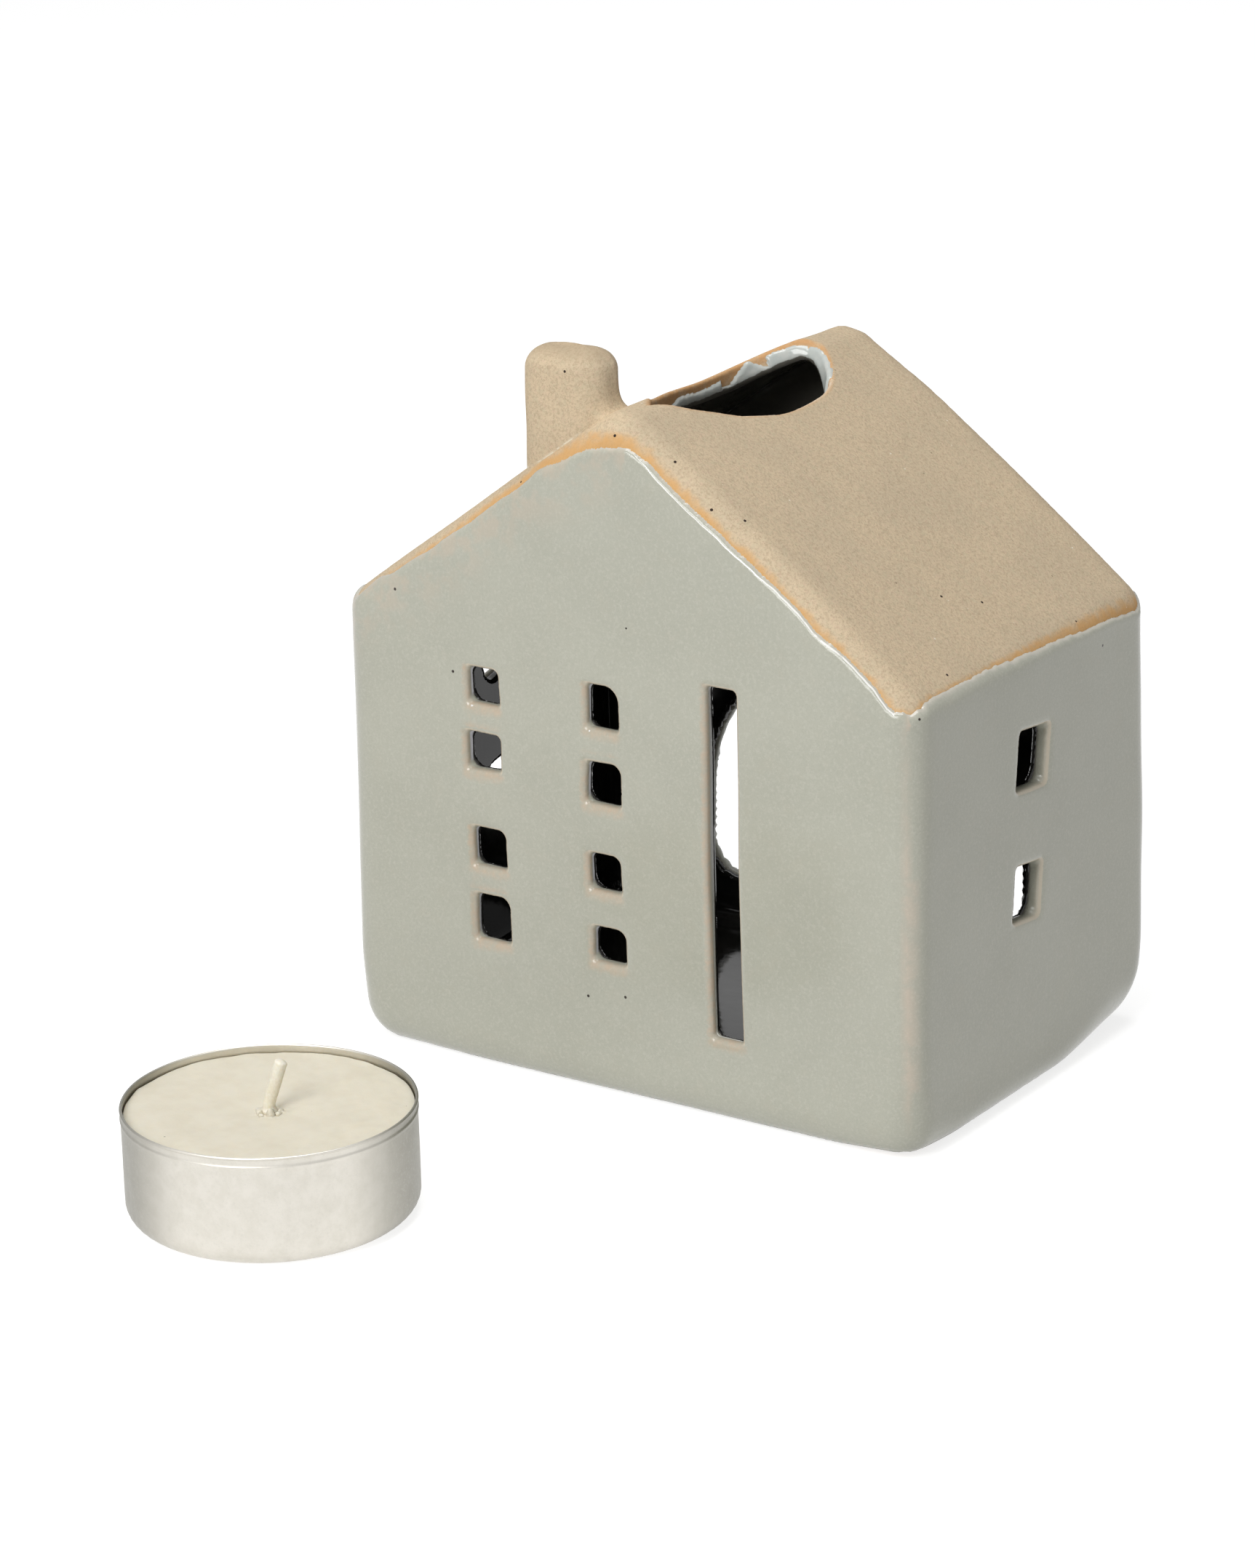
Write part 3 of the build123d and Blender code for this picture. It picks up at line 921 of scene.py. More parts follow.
chimney_points, chimney_faces = close_rings(
    np.vstack(rings), chimney_sides, rings[0].mean(axis=0) - (0, 0, 0.5), top_middle + (0, 0, chimney_dome)
)
chimney_block = make_piece("chimney_block", chimney_points, chimney_faces, "house", "bare_clay", "chimney")
chimney_x, chimney_y, chimney_z = chimney_points.T
at_front = smooth_step(-chimney_y, 24, 26) * smooth_step(-chimney_x, 6, 8)
store(
    chimney_block,
    beyond_glaze=np.full(len(chimney_points), 12),
    band_width=np.ones(len(chimney_points)),
    # Painted shade: the flat top of the chimney is painted darker, for how the light falls on it.
    top_face=smooth_step(chimney_z, 99.2, 100.8),
    # Painted highlight: a pale broken line along the crease at the chimney's front foot.
    crease=smooth_step(-outer_form(chimney_points), -0.24, -0.08) * at_front,
)
print("chimney top at", round(chimney_z.max(), 2), "mm")

# %% [markdown]
# ## The tealight cup
# The cup is pressed from a disc of foil. Its profile is drawn once and turned round the axis, as a lathe or
# Blender's Screw modifier does, but in code, so that each ring can also be a little out of round, as
# handled foil is. The rim is a narrow fold with a finer bead under it, and the corner at the foot is a wide
# curve.

# %% Turn the cup
tealight = np.array([-18.8, -83.3, 0])
turned_sides = 256


def turn_profile(profile, uneven):
    """A profile of (radius, height) turned round the tealight's axis; uneven moves its points a little."""
    angle = np.linspace(0, 2 * np.pi, turned_sides, endpoint=False)
    around = np.column_stack((np.cos(angle), np.sin(angle)))
    rings = [np.column_stack((radius * around, height + 0 * angle)) for radius, height in profile]
    return uneven(np.vstack(rings)) + tealight


def arc(middle_radius, middle_height, radius, start, end, steps):
    ways = np.radians(np.linspace(start, end, steps))
    return [(middle_radius + radius * math.cos(way), middle_height + radius * math.sin(way)) for way in ways]


foil = 0.14
outer_profile = [(0.02, 0.55), (6, 0.55), (11, 0.5), (12.6, 0.42), (13.4, 0.12), (14.0, 0.0)]
outer_profile += [(15.6, 0.02)] + arc(16.0, 2.85, 2.85, -84, -8, 12)
outer_profile += [(18.84, 4.3), (18.85, 6.2), (18.86, 8.2), (18.86, 10.2), (18.87, 12), (18.87, 13.2)]
outer_profile += [(18.88, 13.42), (18.94, 13.58), (18.97, 13.72), (18.93, 13.87), (18.86, 13.98)]
outer_profile += [(18.85, 14.2)]
rim_profile = [(18.86, 14.6)] + arc(18.78, 14.94, 0.2, -60, 180, 12)
inner_profile = [(18.6, 14.6), (18.68, 14.2), (18.7, 13)]
inner_profile += [(radius - foil, height + foil * 0.5) for radius, height in reversed(outer_profile[6:-7])]
inner_profile += [(14.0, 0.16), (13.4, 0.28), (12.6, 0.58), (6, 0.7), (0.02, 0.7)]
cup_profile = outer_profile + rim_profile + inner_profile


def foil_squeeze(points):
    """How far handling has pressed the foil out of round, and how much of that counts at each radius."""
    angle = np.arctan2(points[:, 1], points[:, 0])
    radius = np.hypot(points[:, 0], points[:, 1])
    around = np.column_stack((np.cos(angle), np.sin(angle), points[:, 2] / 14))
    squeeze = 0.07 * swell(around, 1.6, 71) + 0.02 * swell(around, 0.5, 72)
    wall_share = smooth_step(radius, 12, 18)
    return np.clip(squeeze - 0.07, -0.2, 0) * wall_share, wall_share, angle, radius, around


def handled_foil(points):
    squeeze, wall_share, angle, radius, around = foil_squeeze(points)
    pleats = 0.035 * np.sin(angle * 74 + 2 * np.sin(angle * 5)) * wall_share
    pleats *= np.exp(-((points[:, 2] - 1.6) / 1.3) ** 2)
    height = points[:, 2]
    rim_wave = swell(around, 1.1, 73) * smooth_step(height, 12, 15) - smooth_step(height, 14.6, 15.2)
    moved = points.copy()
    moved[:, :2] *= (1 + (squeeze + pleats) / np.maximum(radius, 1))[:, None]
    moved[:, 2] += 0.05 * rim_wave
    return moved


cup_points, cup_faces = close_rings(
    turn_profile(cup_profile, handled_foil), turned_sides, tealight + (0, 0, 0.55), tealight + (0, 0, 0.7)
)
foil_cup = make_piece("foil_cup", cup_points, cup_faces, "cup", "cup_foil", "tealight_cup")
# Painted reflection: this share is 1 at the cup's left and right sides as the camera sees them, where the
# foil is painted darker.
held = (cup_points - tealight)[:, :2] @ np.array([0.824, 0.567]) / 19
store(foil_cup, held=smooth_step(np.abs(held), 0.5, 1.0))

# %% [markdown]
# ## Wax, wick and crumbs
# The wax was poured and has shrunk a little: it dips towards the wick, and its edge doesn't quite follow
# the foil. The wick is braided cotton soaked in wax. It leans to the right, and small crumbs of wax lie at
# its foot.

# %% Pour the wax
wax_level = 14.2
wax_profile = [(0.02, 0.75), (8, 0.75), (12.4, 0.8), (14.2, 0.85), (16.2, 1.6), (17.5, 2.7), (18.1, 4.2)]
wax_profile += [(18.3, 7), (18.42, 11), (18.5, 13.5), (18.52, 14.0), (18.5, 14.14), (18.38, 14.2)]
wax_profile += [(radius, wax_level) for radius in np.linspace(17.7, 2.2, 40)]
wax_profile += [(radius, wax_level) for radius in np.linspace(2.0, 0.05, 14)]


def poured_wax(points):
    squeeze, _, angle, radius, _ = foil_squeeze(points)
    on_top = smooth_step(points[:, 2], 13.6, 14.1)
    flat = points[:, :2]
    dip = -0.5 * np.exp(-(radius / 3.4) ** 2) - 0.32 * smooth_step(-radius, -16, -2)
    dip += 0.06 * swell(flat, 9, 81) + 0.02 * swell(flat, 2.2, 82) - 0.1
    lumps = np.clip(swell(flat, 1.3, 83), 0, 1) * 0.5 * np.exp(-((radius - 1.2) / 0.7) ** 2)
    round_the_rim = np.column_stack((np.cos(angle), np.sin(angle)))
    ragged_edge = np.clip(swell(round_the_rim, 0.3, 84) - 0.3, 0, 1) * smooth_step(radius, 17.4, 18.2)
    ragged_edge *= smooth_step(-np.cos(angle) * 0.8 + np.sin(angle) * 0.6, -0.4, 0.8)
    moved = points.copy()
    moved[:, 2] += on_top * (dip + lumps - 0.08 * ragged_edge)
    moved[:, :2] *= (1 + (squeeze - on_top * 0.08 * ragged_edge) / np.maximum(radius, 1))[:, None]
    return moved


wax_points = turn_profile(wax_profile, poured_wax)
wax_middle_height = wax_points[-turned_sides:, 2].mean()
wax_points, wax_faces = close_rings(
    wax_points, turned_sides, tealight + (0, 0, 0.75), tealight + (0, 0, wax_middle_height)
)

crumb_dice = np.random.default_rng(91)
crumb_sides = 12
crumb_places = [
    (0.9, -0.9, 0.62), (-0.5, -1.3, 0.5), (1.7, -0.3, 0.42), (0.2, -1.9, 0.34), (-1.2, -0.6, 0.36),
    (1.2, 0.9, 0.4),
]
way = np.linspace(0, 2 * np.pi, crumb_sides, endpoint=False)
ball = np.vstack([
    np.column_stack((np.cos(tilt) * np.cos(way), np.cos(tilt) * np.sin(way), np.sin(tilt) + 0 * way))
    for tilt in np.linspace(-np.pi / 2, np.pi / 2, 8)[1:-1]
])
for crumb_x, crumb_y, crumb_size in crumb_places:
    crumb, crumb_faces = close_rings(ball, crumb_sides, (0, 0, -1), (0, 0, 1))
    crumb *= crumb_size * crumb_dice.uniform(0.7, 1.15, 3)
    crumb *= (1 + 0.22 * swell(crumb + crumb_x, 0.7, 92))[:, None]
    crumb += tealight + (crumb_x, crumb_y, wax_middle_height + 0.25 * crumb_size + 0.1)
    wax_faces += [tuple(len(wax_points) + corner for corner in face) for face in crumb_faces]
    wax_points = np.vstack((wax_points, crumb))
wax_fill = make_piece("wax_fill", wax_points, wax_faces, "candle", "cream_wax", "candle_wax")

# %% [markdown]
# ## The wick
# Rings are set one after another along a line that is straight in the wax and leans above it. Each ring's
# radius goes up and down with two waves that wind round the wick in opposite ways, as the strands of a
# braid do.

# %% Braid the wick
wick_foot = tealight + (0, 0, 0.8)
wick_bend = tealight + (0, 0, 14.5)
wick_lean = np.array([1.6, 1.1, 5.95])
wick_radius = 0.86
wick_sides = 28
wick_rings = 150


def wick_middle(share):
    """A point on the wick's middle line: straight in the wax, then leaning."""
    if share <= 0.6:
        return wick_foot + (wick_bend - wick_foot) * (share / 0.6)
    along = (share - 0.6) / 0.4
    bend = along ** 1.25
    return wick_bend + wick_lean * (bend, bend, along) + (0.12 * math.sin(along * 4), 0, 0)


wick_points = []
way = np.linspace(0, 2 * np.pi, wick_sides, endpoint=False)[:, None]
for ring in range(wick_rings):
    share = ring / (wick_rings - 1)
    middle = wick_middle(share)
    ahead = unit((wick_middle(share + 0.01) - wick_middle(share - 0.01))[None])
    side = unit(np.cross(ahead, [0, 1, 0]))
    other = np.cross(ahead, side)
    end_round = math.sqrt(max(1 - max(share - 0.97, 0) ** 2 / 0.03 ** 2, 0.0))
    strand = np.abs(np.sin(way * 1.5 + ring * 0.21) * np.sin(way * 1.5 - ring * 0.21))
    size = wick_radius * (0.9 + 0.03 * strand + 0.08 * share) * max(end_round, 0.02)
    if share > 0.5:
        size += 0.27 * math.exp(-((middle[2] - 13.6) / 0.35) ** 2)
    wick_points.append(middle + size * (np.cos(way) * side + np.sin(way) * other))
wick_top = wick_points[-1].mean(axis=0)
wick_points, wick_faces = close_rings(np.vstack(wick_points), wick_sides, wick_foot, wick_top)
cotton_wick = make_piece("cotton_wick", wick_points, wick_faces, "candle", "wick_cotton", "wick")

# %% [markdown]
# ## Materials
# Each finish starts from one Principled shader. Small helpers add the nodes that vary its colour, its
# roughness and its surface: clouds of colour, fine grain, and specks. The coordinates are the object's own,
# so the pattern stays on the piece when the camera or the piece moves. The colour is stained step by step,
# as layers lie on the real clay, but a few stains are painted light: painted highlights, painted reflections
# and painted shade, each marked where it is made.

# %% Helpers for materials
def to_linear(red, green, blue):
    """A colour as a screen shows it, 0 to 255, changed to the light values that shaders use."""
    shares = [channel / 255 for channel in (red, green, blue)]
    return tuple(s / 12.92 if s <= 0.04045 else ((s + 0.055) / 1.055) ** 2.4 for s in shares) + (1,)


def add_node(tree, kind, inputs=(), **settings):
    """A new shader node. Each input gets a value, a socket, or the name of numbers stored on the points."""
    node = tree.nodes.new("ShaderNode" + kind)
    for name, value in settings.items():
        setattr(node, name, value)
    for socket, value in dict(inputs).items():
        if isinstance(value, str):
            value = add_node(tree, "Attribute", attribute_name=value).outputs["Fac"]
        if isinstance(value, bpy.types.NodeSocket):
            tree.links.new(value, node.inputs[socket])
        else:
            node.inputs[socket].default_value = value
    return node


class Finish:
    """One material, with short ways to add the nodes that this lesson uses."""

    def __init__(self, name):
        self.material = bpy.data.materials.new(name)
        self.material.use_nodes = True
        self.tree = self.material.node_tree
        self.place = add_node(self.tree, "TexCoord").outputs["Object"]

    def stretched(self, stretch):
        if not stretch:
            return self.place
        return add_node(self.tree, "Mapping", {"Vector": self.place, "Scale": stretch}).outputs[0]

    def math(self, operation, *values):
        return add_node(self.tree, "Math", enumerate(values), operation=operation).outputs[0]

    def times(self, first, second):
        return self.math("MULTIPLY", first, second)

    def noise(self, size_mm, detail=3, roughness=0.55, stretch=None):
        """Noise whose blobs are about size_mm across, from 0 to 1."""
        values = {"Scale": 1 / (size_mm * MM), "Detail": detail, "Roughness": roughness}
        return add_node(self.tree, "TexNoise", {"Vector": self.stretched(stretch), **values}).outputs["Fac"]

    def ramp(self, value, low, high, low_result=0, high_result=1, smooth=True):
        """Maps low..high to low_result..high_result, and holds the ends."""
        ends = {"From Min": low, "From Max": high, "To Min": low_result, "To Max": high_result}
        way = "SMOOTHSTEP" if smooth else "LINEAR"
        node = add_node(self.tree, "MapRange", {"Value": value, **ends}, interpolation_type=way)
        return node.outputs["Result"]

    def clouds(self, size_mm, detail, *ends):
        return self.ramp(self.noise(size_mm, detail), *ends)

    def mix(self, share, first, second):
        """Colour first, turning to second as share goes to 1. Each is a socket or three screen values."""
        ends = [to_linear(*colour) if isinstance(colour, tuple) else colour for colour in (first, second)]
        return add_node(self.tree, "Mix", {0: share, 6: ends[0], 7: ends[1]}, data_type="RGBA").outputs[2]

    def stain(self, share, colour):
        """Turns the colour so far into another one where share is 1."""
        self.colour = self.mix(share, self.colour, colour)

    def specks(self, spacing_mm, low_mm, high_mm, share, stretch=None):
        """Scattered round specks: 1 inside a speck, 0 outside. Only a share of the cells has one."""
        scale = 1 / (spacing_mm * MM)
        cells = add_node(self.tree, "TexVoronoi", {"Vector": self.stretched(stretch), "Scale": scale})
        dice = add_node(self.tree, "SeparateColor", {0: cells.outputs["Color"]}).outputs
        size = self.ramp(dice[0], 0, 1, low_mm / spacing_mm, high_mm / spacing_mm, False)
        inside = self.math("LESS_THAN", cells.outputs["Distance"], size)
        return self.times(inside, self.math("LESS_THAN", dice[1], share))

    def spots(self, places, radius_mm):
        """Specks at given places, in mm."""
        total = 0.0
        for place in places:
            ends = {0: self.place, 1: [length * MM for length in place]}
            gap = add_node(self.tree, "VectorMath", ends, operation="DISTANCE").outputs["Value"]
            total = self.math("MAXIMUM", total, self.math("LESS_THAN", gap, radius_mm * MM))
        return total

    def dress(self, pieces, roughness, relief, relief_mm, **constants):
        """Joins colour, roughness and relief to the shader, sets its constants, and covers the pieces."""
        shader = self.tree.nodes["Principled BSDF"]
        bump = add_node(self.tree, "Bump", {"Height": relief, "Distance": relief_mm * MM, "Strength": 1.0})
        sources = {"Base Color": self.colour, "Roughness": roughness, "Normal": bump.outputs[0]}
        for name, source in sources.items():
            self.tree.links.new(source, shader.inputs[name])
        for name, value in constants.items():
            shader.inputs[name.replace("_", " ")].default_value = value
        for piece in pieces:
            piece.data.materials.clear()
            piece.data.materials.append(self.material)
        print(self.material.name, "has", len(self.tree.nodes), "nodes")


# %% [markdown]
# ## Bare clay
# Fired stoneware is a warm sand colour with a dry, fine grain. Iron in the clay makes dark specks, and
# coarse sand makes pale ones. Beside the glaze the clay turns orange, because the glaze's vapour stains it
# in the kiln: the stored distance beyond the glaze line draws that band.

# %% Clay finish
clay = Finish("bare_clay_finish")
clay.colour = clay.mix(clay.clouds(9, 4, 0.35, 0.68), (221, 200, 168), (213, 194, 164))
clay.stain(clay.clouds(0.9, 4, 0.45, 0.7, 0, 0.4), (201, 191, 160))
clay.stain(clay.clouds(0.6, 3, 0.5, 0.72, 0, 0.4), (220, 190, 165))
grain = clay.noise(0.4, 3, 0.9)
clay.stain(clay.ramp(grain, 0.42, 0.66, 0, 0.62), (180, 158, 130))
pale_grain = clay.noise(0.3, 2, 0.8, stretch=(1.1, 0.9, 1.0))
clay.stain(clay.ramp(pale_grain, 0.55, 0.75, 0, 0.4), (232, 214, 188))
beyond = clay.math("DIVIDE", "beyond_glaze", "band_width")
wander = clay.math("ADD", beyond, clay.clouds(1.6, 3, 0.25, 0.75, -0.5, 0.5))
band = clay.times(clay.ramp(wander, 0.4, 2.5, 1, 0), clay.ramp(beyond, -1.5, -0.6))
clay.stain(clay.times(band, 0.82), (222, 170, 104))
clay.stain(clay.times("vent_face", clay.clouds(2.4, 3, 0.3, 0.6, 0.4, 0.85)), (214, 160, 102))
clay.stain(clay.times("foot_face", 0.6), (205, 160, 112))
# Painted highlight: the near rim of the vent is painted pale, where the light catches it.
clay.stain(clay.times("vent_lip", 0.8), (238, 228, 210))
# Painted shade on the chimney's flat top.
clay.stain(clay.times("top_face", 0.5), (178, 158, 130))
clay.stain(clay.specks(2.6, 0.05, 0.17, 0.5), (240, 230, 212))
clay.stain(clay.times(clay.specks(4.6, 0.07, 0.24, 0.5, stretch=(1, 1, 0.55)), 0.7), (96, 74, 58))
seen_specks = [
    (-15.31, -29.62, 83.34), (-21.98, -30.0, 78.06), (-12.6, -29.98, 84.5), (0.07, -30.08, 91.69),
    (14.18, -29.35, 83.7), (17.96, -27.43, 82.32), (8.04, -28.26, 88.89), (34.79, -7.26, 69.47),
    (42.38, -18.55, 63.26), (37.31, -1.22, 67.45), (43.49, 12.31, 62.06), (42.98, 23.36, 62.61),
    (44.07, 2.33, 61.22), (-8.7, -28.4, 98.6),
]
clay.stain(clay.spots(seen_specks, 0.2), (52, 40, 33))
# Painted highlight along the chimney's front crease.
clay.stain(clay.times("crease", clay.clouds(0.8, 3, 0.42, 0.58, 0.05, 0.85)), (240, 230, 208))
pores = clay.math("ADD", clay.times(grain, 0.6), clay.times(clay.noise(1.2), 0.9))
dryness = clay.ramp(grain, 0.3, 0.7, 0.74, 0.9)
clay.dress([clay_casting, chimney_block], dryness, pores, 0.09, Specular_IOR_Level=0.35)

# %% [markdown]
# ## Pale glaze
# The glaze is a calm grey green, almost silky. It is thinner on the lips of the windows, where the clay
# shows through as a pinkish line, and it is a little paler where it has pooled. A thin pale line under the
# right half of the roof's front edge is a painted highlight: it stands for the lamp's gleam in the rolled
# glaze. The left reveals are painted paler, as painted light from the window that they face, with a painted
# white reflection along their inner edge. Small white spots at the lower left corners of the windows are
# painted highlights.

# %% Pale glaze finish
pale = Finish("pale_glaze_finish")
pale.colour = pale.mix(pale.clouds(14, 4, 0.3, 0.7), (184, 184, 169), (189, 189, 174))
mottle = pale.noise(0.42, 3, 0.75)
pale.stain(pale.ramp(mottle, 0.45, 0.7, 0, 0.5), (204, 203, 190))
pale.stain(pale.ramp(pale.noise(0.26, 2, 0.8), 0.5, 0.75, 0, 0.3), (164, 164, 148))
pale.stain(pale.clouds(3.1, 3, 0.5, 0.75, 0, 0.14), (193, 187, 168))
near_verge = pale.ramp("below_line", 0.5, 9, 0.5, 0)
pale.stain(pale.times(near_verge, pale.clouds(3.4, 3, 0.42, 0.62)), (206, 190, 170))
pale.stain(pale.times("near_edge_stripe", pale.clouds(2.6, 3, 0.3, 0.6, 0.2, 0.6)), (222, 200, 180))
outward = pale.math("ADD", "window_gap", pale.clouds(0.8, 3, 0.3, 0.7, -0.15, 0.15))
under = pale.times("under_window", pale.ramp(outward, 0.1, 1.6, 0.5, 0))
beside = pale.times("beside_window", pale.ramp(outward, 0.05, 0.6, 0.5, 0))
peach = pale.times(pale.math("MAXIMUM", under, beside), pale.clouds(1.1, 3, 0.3, 0.68, 0.35, 1))
on_face = pale.ramp("wall_depth", 0.35, 0.8, 1, 0)
pale.stain(pale.times(peach, on_face), (216, 184, 154))
from_lip = pale.math("ABSOLUTE", pale.math("SUBTRACT", "window_gap", 0.12))
elsewhere = pale.math("SUBTRACT", 1.0, pale.math("MAXIMUM", "under_window", "beside_window"))
lip = pale.times(pale.ramp(from_lip, 0.05, 0.16, 0.6, 0), on_face)
pale.stain(pale.times(lip, elsewhere), (228, 212, 188))
# Painted light: the left reveals are painted paler.
pale.stain(pale.times("lit_reveal", pale.ramp("wall_depth", 0.5, 0.9, 0, 0.95)), (244, 244, 252))
# Painted reflection: a white line along the reveals' inner edge.
pale.stain(pale.times("lit_reveal", pale.ramp("wall_depth", 1.7, 1.8)), (249.3, 249.3, 249.3))
pale.stain(pale.ramp("from_edge", 0, 0.25, 0.5, 0), (214, 206, 194))
# Painted highlight: the lamp's gleam in the rolled glaze.
gleam = pale.ramp(pale.math("ABSOLUTE", "gleam"), 0.6, 1.3, 1, 0)
pale.stain(pale.times(gleam, pale.clouds(0.7, 3, 0.3, 0.5, 0.55, 1)), (252.7, 251.6, 247.0))
pale.stain(pale.times(pale.specks(9, 0.08, 0.2, 0.16), 0.8), (70, 58, 48))
glaze_specks = [
    (-35.47, -30.8, 65.97), (1.71, -30.8, 66.41), (-5.88, -30.8, 13.99), (0.08, -30.8, 14.97),
    (-26.34, -30.8, 55.99), (44.2, -28.5, 60.5), (44.8, 17.19, 57.67),
]
pale.stain(pale.spots(glaze_specks, 0.21), (52, 44, 36))
# Painted highlights: white spots at the lower left corners of the windows and the door slot.
glints = [
    (-23.56, 51.72), (-23.9, 42.78), (-4.71, 51.39), (-4.96, 41.47), (-23.17, 29.2), (-4.74, 29.41),
    (-23.49, 18.68), (-4.59, 19.17), (13.9, 12.2),
]
glint_places = [(across, -30.75, over) for across, over in glints]
glint_places += [(across + 0.22, -30.75, over + 0.08) for across, over in glints]
pale.stain(pale.spots(glint_places, 0.2), (255, 255, 255))
peel = pale.math("ADD", pale.noise(4.5, 1), pale.times(mottle, 0.05))
pale.dress([glaze_coat], pale.ramp(mottle, 0.3, 0.7, 0.14, 0.22), peel, 0.04, Specular_IOR_Level=0.5)

# %% [markdown]
# ## Dark glaze
# The room is coated with a black, glossy glaze. Where it has run over the edge of the vent it is thin and
# pale. High under the roof it is painted lighter: painted light, for the light that falls in through the
# vent.

# %% Dark glaze finish
dark = Finish("dark_glaze_finish")
dark.colour = dark.mix(dark.clouds(6, 3, 0.35, 0.7), (38, 37, 35), (50, 49, 46))
# Painted light: lighter liner high under the roof.
dark.stain(dark.times("under_roof", 0.8), (116, 113, 104))
broken = dark.math("ADD", "room_distance", dark.clouds(1.3, 3, 0.3, 0.7, -0.05, 0.05))
thin_and_pale = dark.times(dark.ramp(broken, 0.32, 0.44), dark.ramp("near_vent", 0.3, 0.6))
dark.stain(thin_and_pale, dark.mix(dark.clouds(1.6, 3, 0.35, 0.65), (196, 202, 197), (206, 209, 203)))
dark.dress([liner_coat], dark.clouds(3, 2, 0.3, 0.7, 0.05, 0.1), dark.noise(3.4, 2), 0.03)

# %% [markdown]
# ## Foil, wax, wick and tin
# Foil is metal with faint handling marks. Its left and right sides, as the camera sees them, are painted
# darker: a painted reflection of darker surroundings in the foil. Wax lets light in a little, so it gets some
# subsurface scattering. The wick is the same wax over cotton. The tin foot is hidden in the wax, but it is
# finished too.

# %% Tealight finishes
metal = Finish("foil_finish")
smudge = metal.noise(2.2, 5, 0.7)
metal.colour = metal.mix(metal.ramp(smudge, 0.3, 0.72), (219, 215, 206), (212, 208, 198))
# Painted reflection: the sides that the camera sees are painted darker.
metal.stain("held", (150, 148, 140))
metal.stain(metal.ramp(metal.noise(0.4, 2, 0.7), 0.5, 0.75, 0, 0.25), (196, 193, 185))
draw_lines = metal.noise(0.5, 2, 0.5, stretch=(1, 1, 0.12))
crumple = metal.math("ADD", metal.times(smudge, 0.3), metal.times(draw_lines, 0.12))
metal.dress([foil_cup], metal.ramp(smudge, 0.3, 0.72, 0.4, 0.46), crumple, 0.05, Metallic=1.0)


def light_inside(weight, *radius):
    """Settings for wax, which light enters a little way; radius is how far red, green and blue go, in m."""
    return {"Subsurface_Weight": weight, "Subsurface_Radius": radius, "Subsurface_Scale": 1.0}


wax = Finish("cream_wax_finish")
wax.colour = wax.mix(wax.clouds(2.6, 4, 0.35, 0.7), (232, 225, 206), (228, 220, 200))
wax.stain(wax.times(wax.specks(2.4, 0.05, 0.13, 0.3), 0.75), (120, 106, 88))
wax_relief = wax.math("ADD", wax.noise(1.4), wax.times(wax.noise(0.3, 2), 0.3))
wax_glow = light_inside(0.25, 0.0022, 0.0017, 0.0011)
wax.dress([wax_fill], wax.clouds(1.5, 3, 0.3, 0.7, 0.42, 0.58), wax_relief, 0.03, **wax_glow)

cotton = Finish("waxed_cotton_finish")
cotton.colour = cotton.mix(cotton.clouds(0.5, 3, 0.35, 0.7), (246, 240, 224), (238, 230, 210))
cotton_gloss = cotton.clouds(0.7, 2, 0.3, 0.7, 0.35, 0.5)
cotton_glow = light_inside(0.3, 0.0015, 0.0012, 0.0008)
cotton.dress([cotton_wick], cotton_gloss, cotton.noise(0.25, 2), 0.04, **cotton_glow)

tin = Finish("tin_plate_finish")
tin.colour = tin.mix(tin.clouds(1.8, 4, 0.35, 0.7), (196, 196, 198), (170, 170, 172))
tin_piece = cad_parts["wick_sustainer"]
tin.dress([tin_piece], tin.clouds(0.6, 3, 0.3, 0.7, 0.28, 0.45), tin.noise(0.4, 2), 0.03, Metallic=1.0)

# %% [markdown]
# ## The floor
# The photograph has a white ground. The floor lights the pieces as plain pale paper would. For the camera
# it is lifted to white, but it keeps a soft shadow of the house, so that the house stands on something.

# %% Floor
floor_half = 3.0
floor_z = -0.00004
floor_shade = (0.8, 0.8, 0.8, 1)
shadow_shade = (0.47, 0.47, 0.47, 1)
floor_glow = 0.775


def seen_by(tree, lighting, seen, *rays):
    """Shows one shader to the kinds of rays that are named, and another one to the rays that carry light."""
    path = add_node(tree, "LightPath").outputs
    share = path[rays[0]]
    for ray in rays[1:]:
        share = add_node(tree, "Math", {0: share, 1: path[ray]}, operation="MAXIMUM").outputs[0]
    return add_node(tree, "MixShader", {0: share, 1: lighting.outputs[0], 2: seen.outputs[0]}).outputs[0]


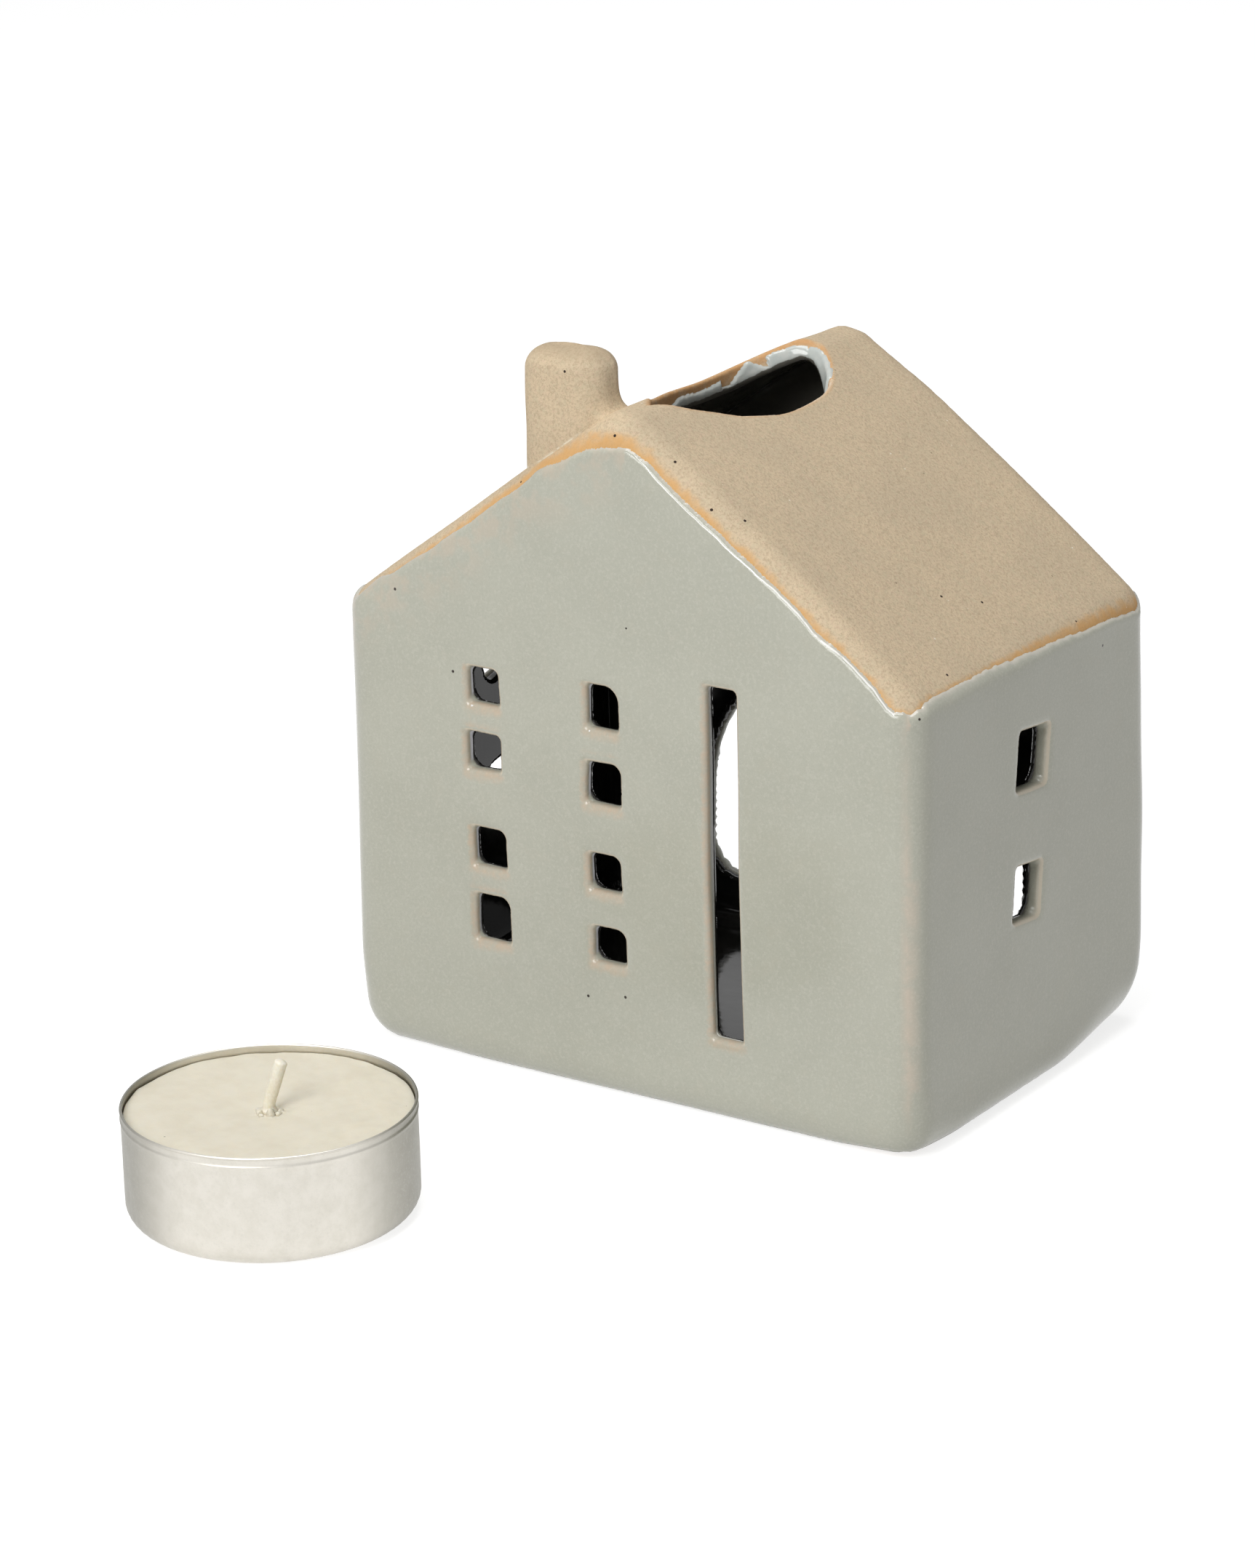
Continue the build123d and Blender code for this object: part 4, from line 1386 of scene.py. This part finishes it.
ways = ((-1, -1), (1, -1), (1, 1), (-1, 1))
floor_corners = [(floor_half * across, floor_half * along, floor_z) for across, along in ways]
floor_mesh = bpy.data.meshes.new("floor")
floor_mesh.from_pydata(floor_corners, [], [(0, 1, 2, 3)])
floor = add_object("floor", floor_mesh)
paper = bpy.data.materials.new("floor_paper")
paper.use_nodes = True
tree = paper.node_tree
tree.nodes.clear()
diffuse = add_node(tree, "BsdfDiffuse", {"Color": floor_shade})
shadow_keeper = add_node(tree, "BsdfDiffuse", {"Color": shadow_shade})
glow = add_node(tree, "Emission", {"Strength": floor_glow})
lifted = add_node(tree, "AddShader", {0: shadow_keeper.outputs[0], 1: glow.outputs[0]})
surface = seen_by(tree, diffuse, lifted, "Is Camera Ray", "Is Glossy Ray")
add_node(tree, "OutputMaterial", {"Surface": surface})
floor_mesh.materials.append(paper)

# %% [markdown]
# ## World and lamps
# The world gives a weak even light, but is white where it is seen or mirrored. One soft lamp stands in
# front, and a second, weaker one hangs above, so that the front wall is the brightest and the right wall is
# calm.

# %% World and lamps
world = bpy.data.worlds.new("studio")
bpy.context.scene.world = world
world.use_nodes = True
tree = world.node_tree
tree.nodes.clear()
even_light = add_node(tree, "Background", {"Color": (1, 1, 1, 1), "Strength": 0.17})
white_view = add_node(tree, "Background", {"Strength": 1.0})
rays = ("Is Camera Ray", "Is Glossy Ray", "Is Transmission Ray")
add_node(tree, "OutputWorld", {"Surface": seen_by(tree, even_light, white_view, *rays)})
lamp_distance = 1.2
lamp_size = 0.6
lit_point = Vector((0, -0.02, 0.05))
for name, towards, power in (("window_light", (0.05, -0.82, 0.574), 8.3), ("top_lamp", (0, 0, 1), 6.4)):
    data = bpy.data.lights.new(name, "AREA")
    data.size = lamp_size
    data.energy = power
    lamp = add_object(name, data)
    way = Vector(towards).normalized()
    lamp.location = lit_point + way * lamp_distance
    lamp.rotation_euler = way.to_track_quat("Z", "Y").to_euler()
    print(name, "gives", power, "W")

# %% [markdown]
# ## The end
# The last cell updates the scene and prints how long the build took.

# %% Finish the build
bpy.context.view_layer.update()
print("made in", round(time.perf_counter() - started, 1), "s")
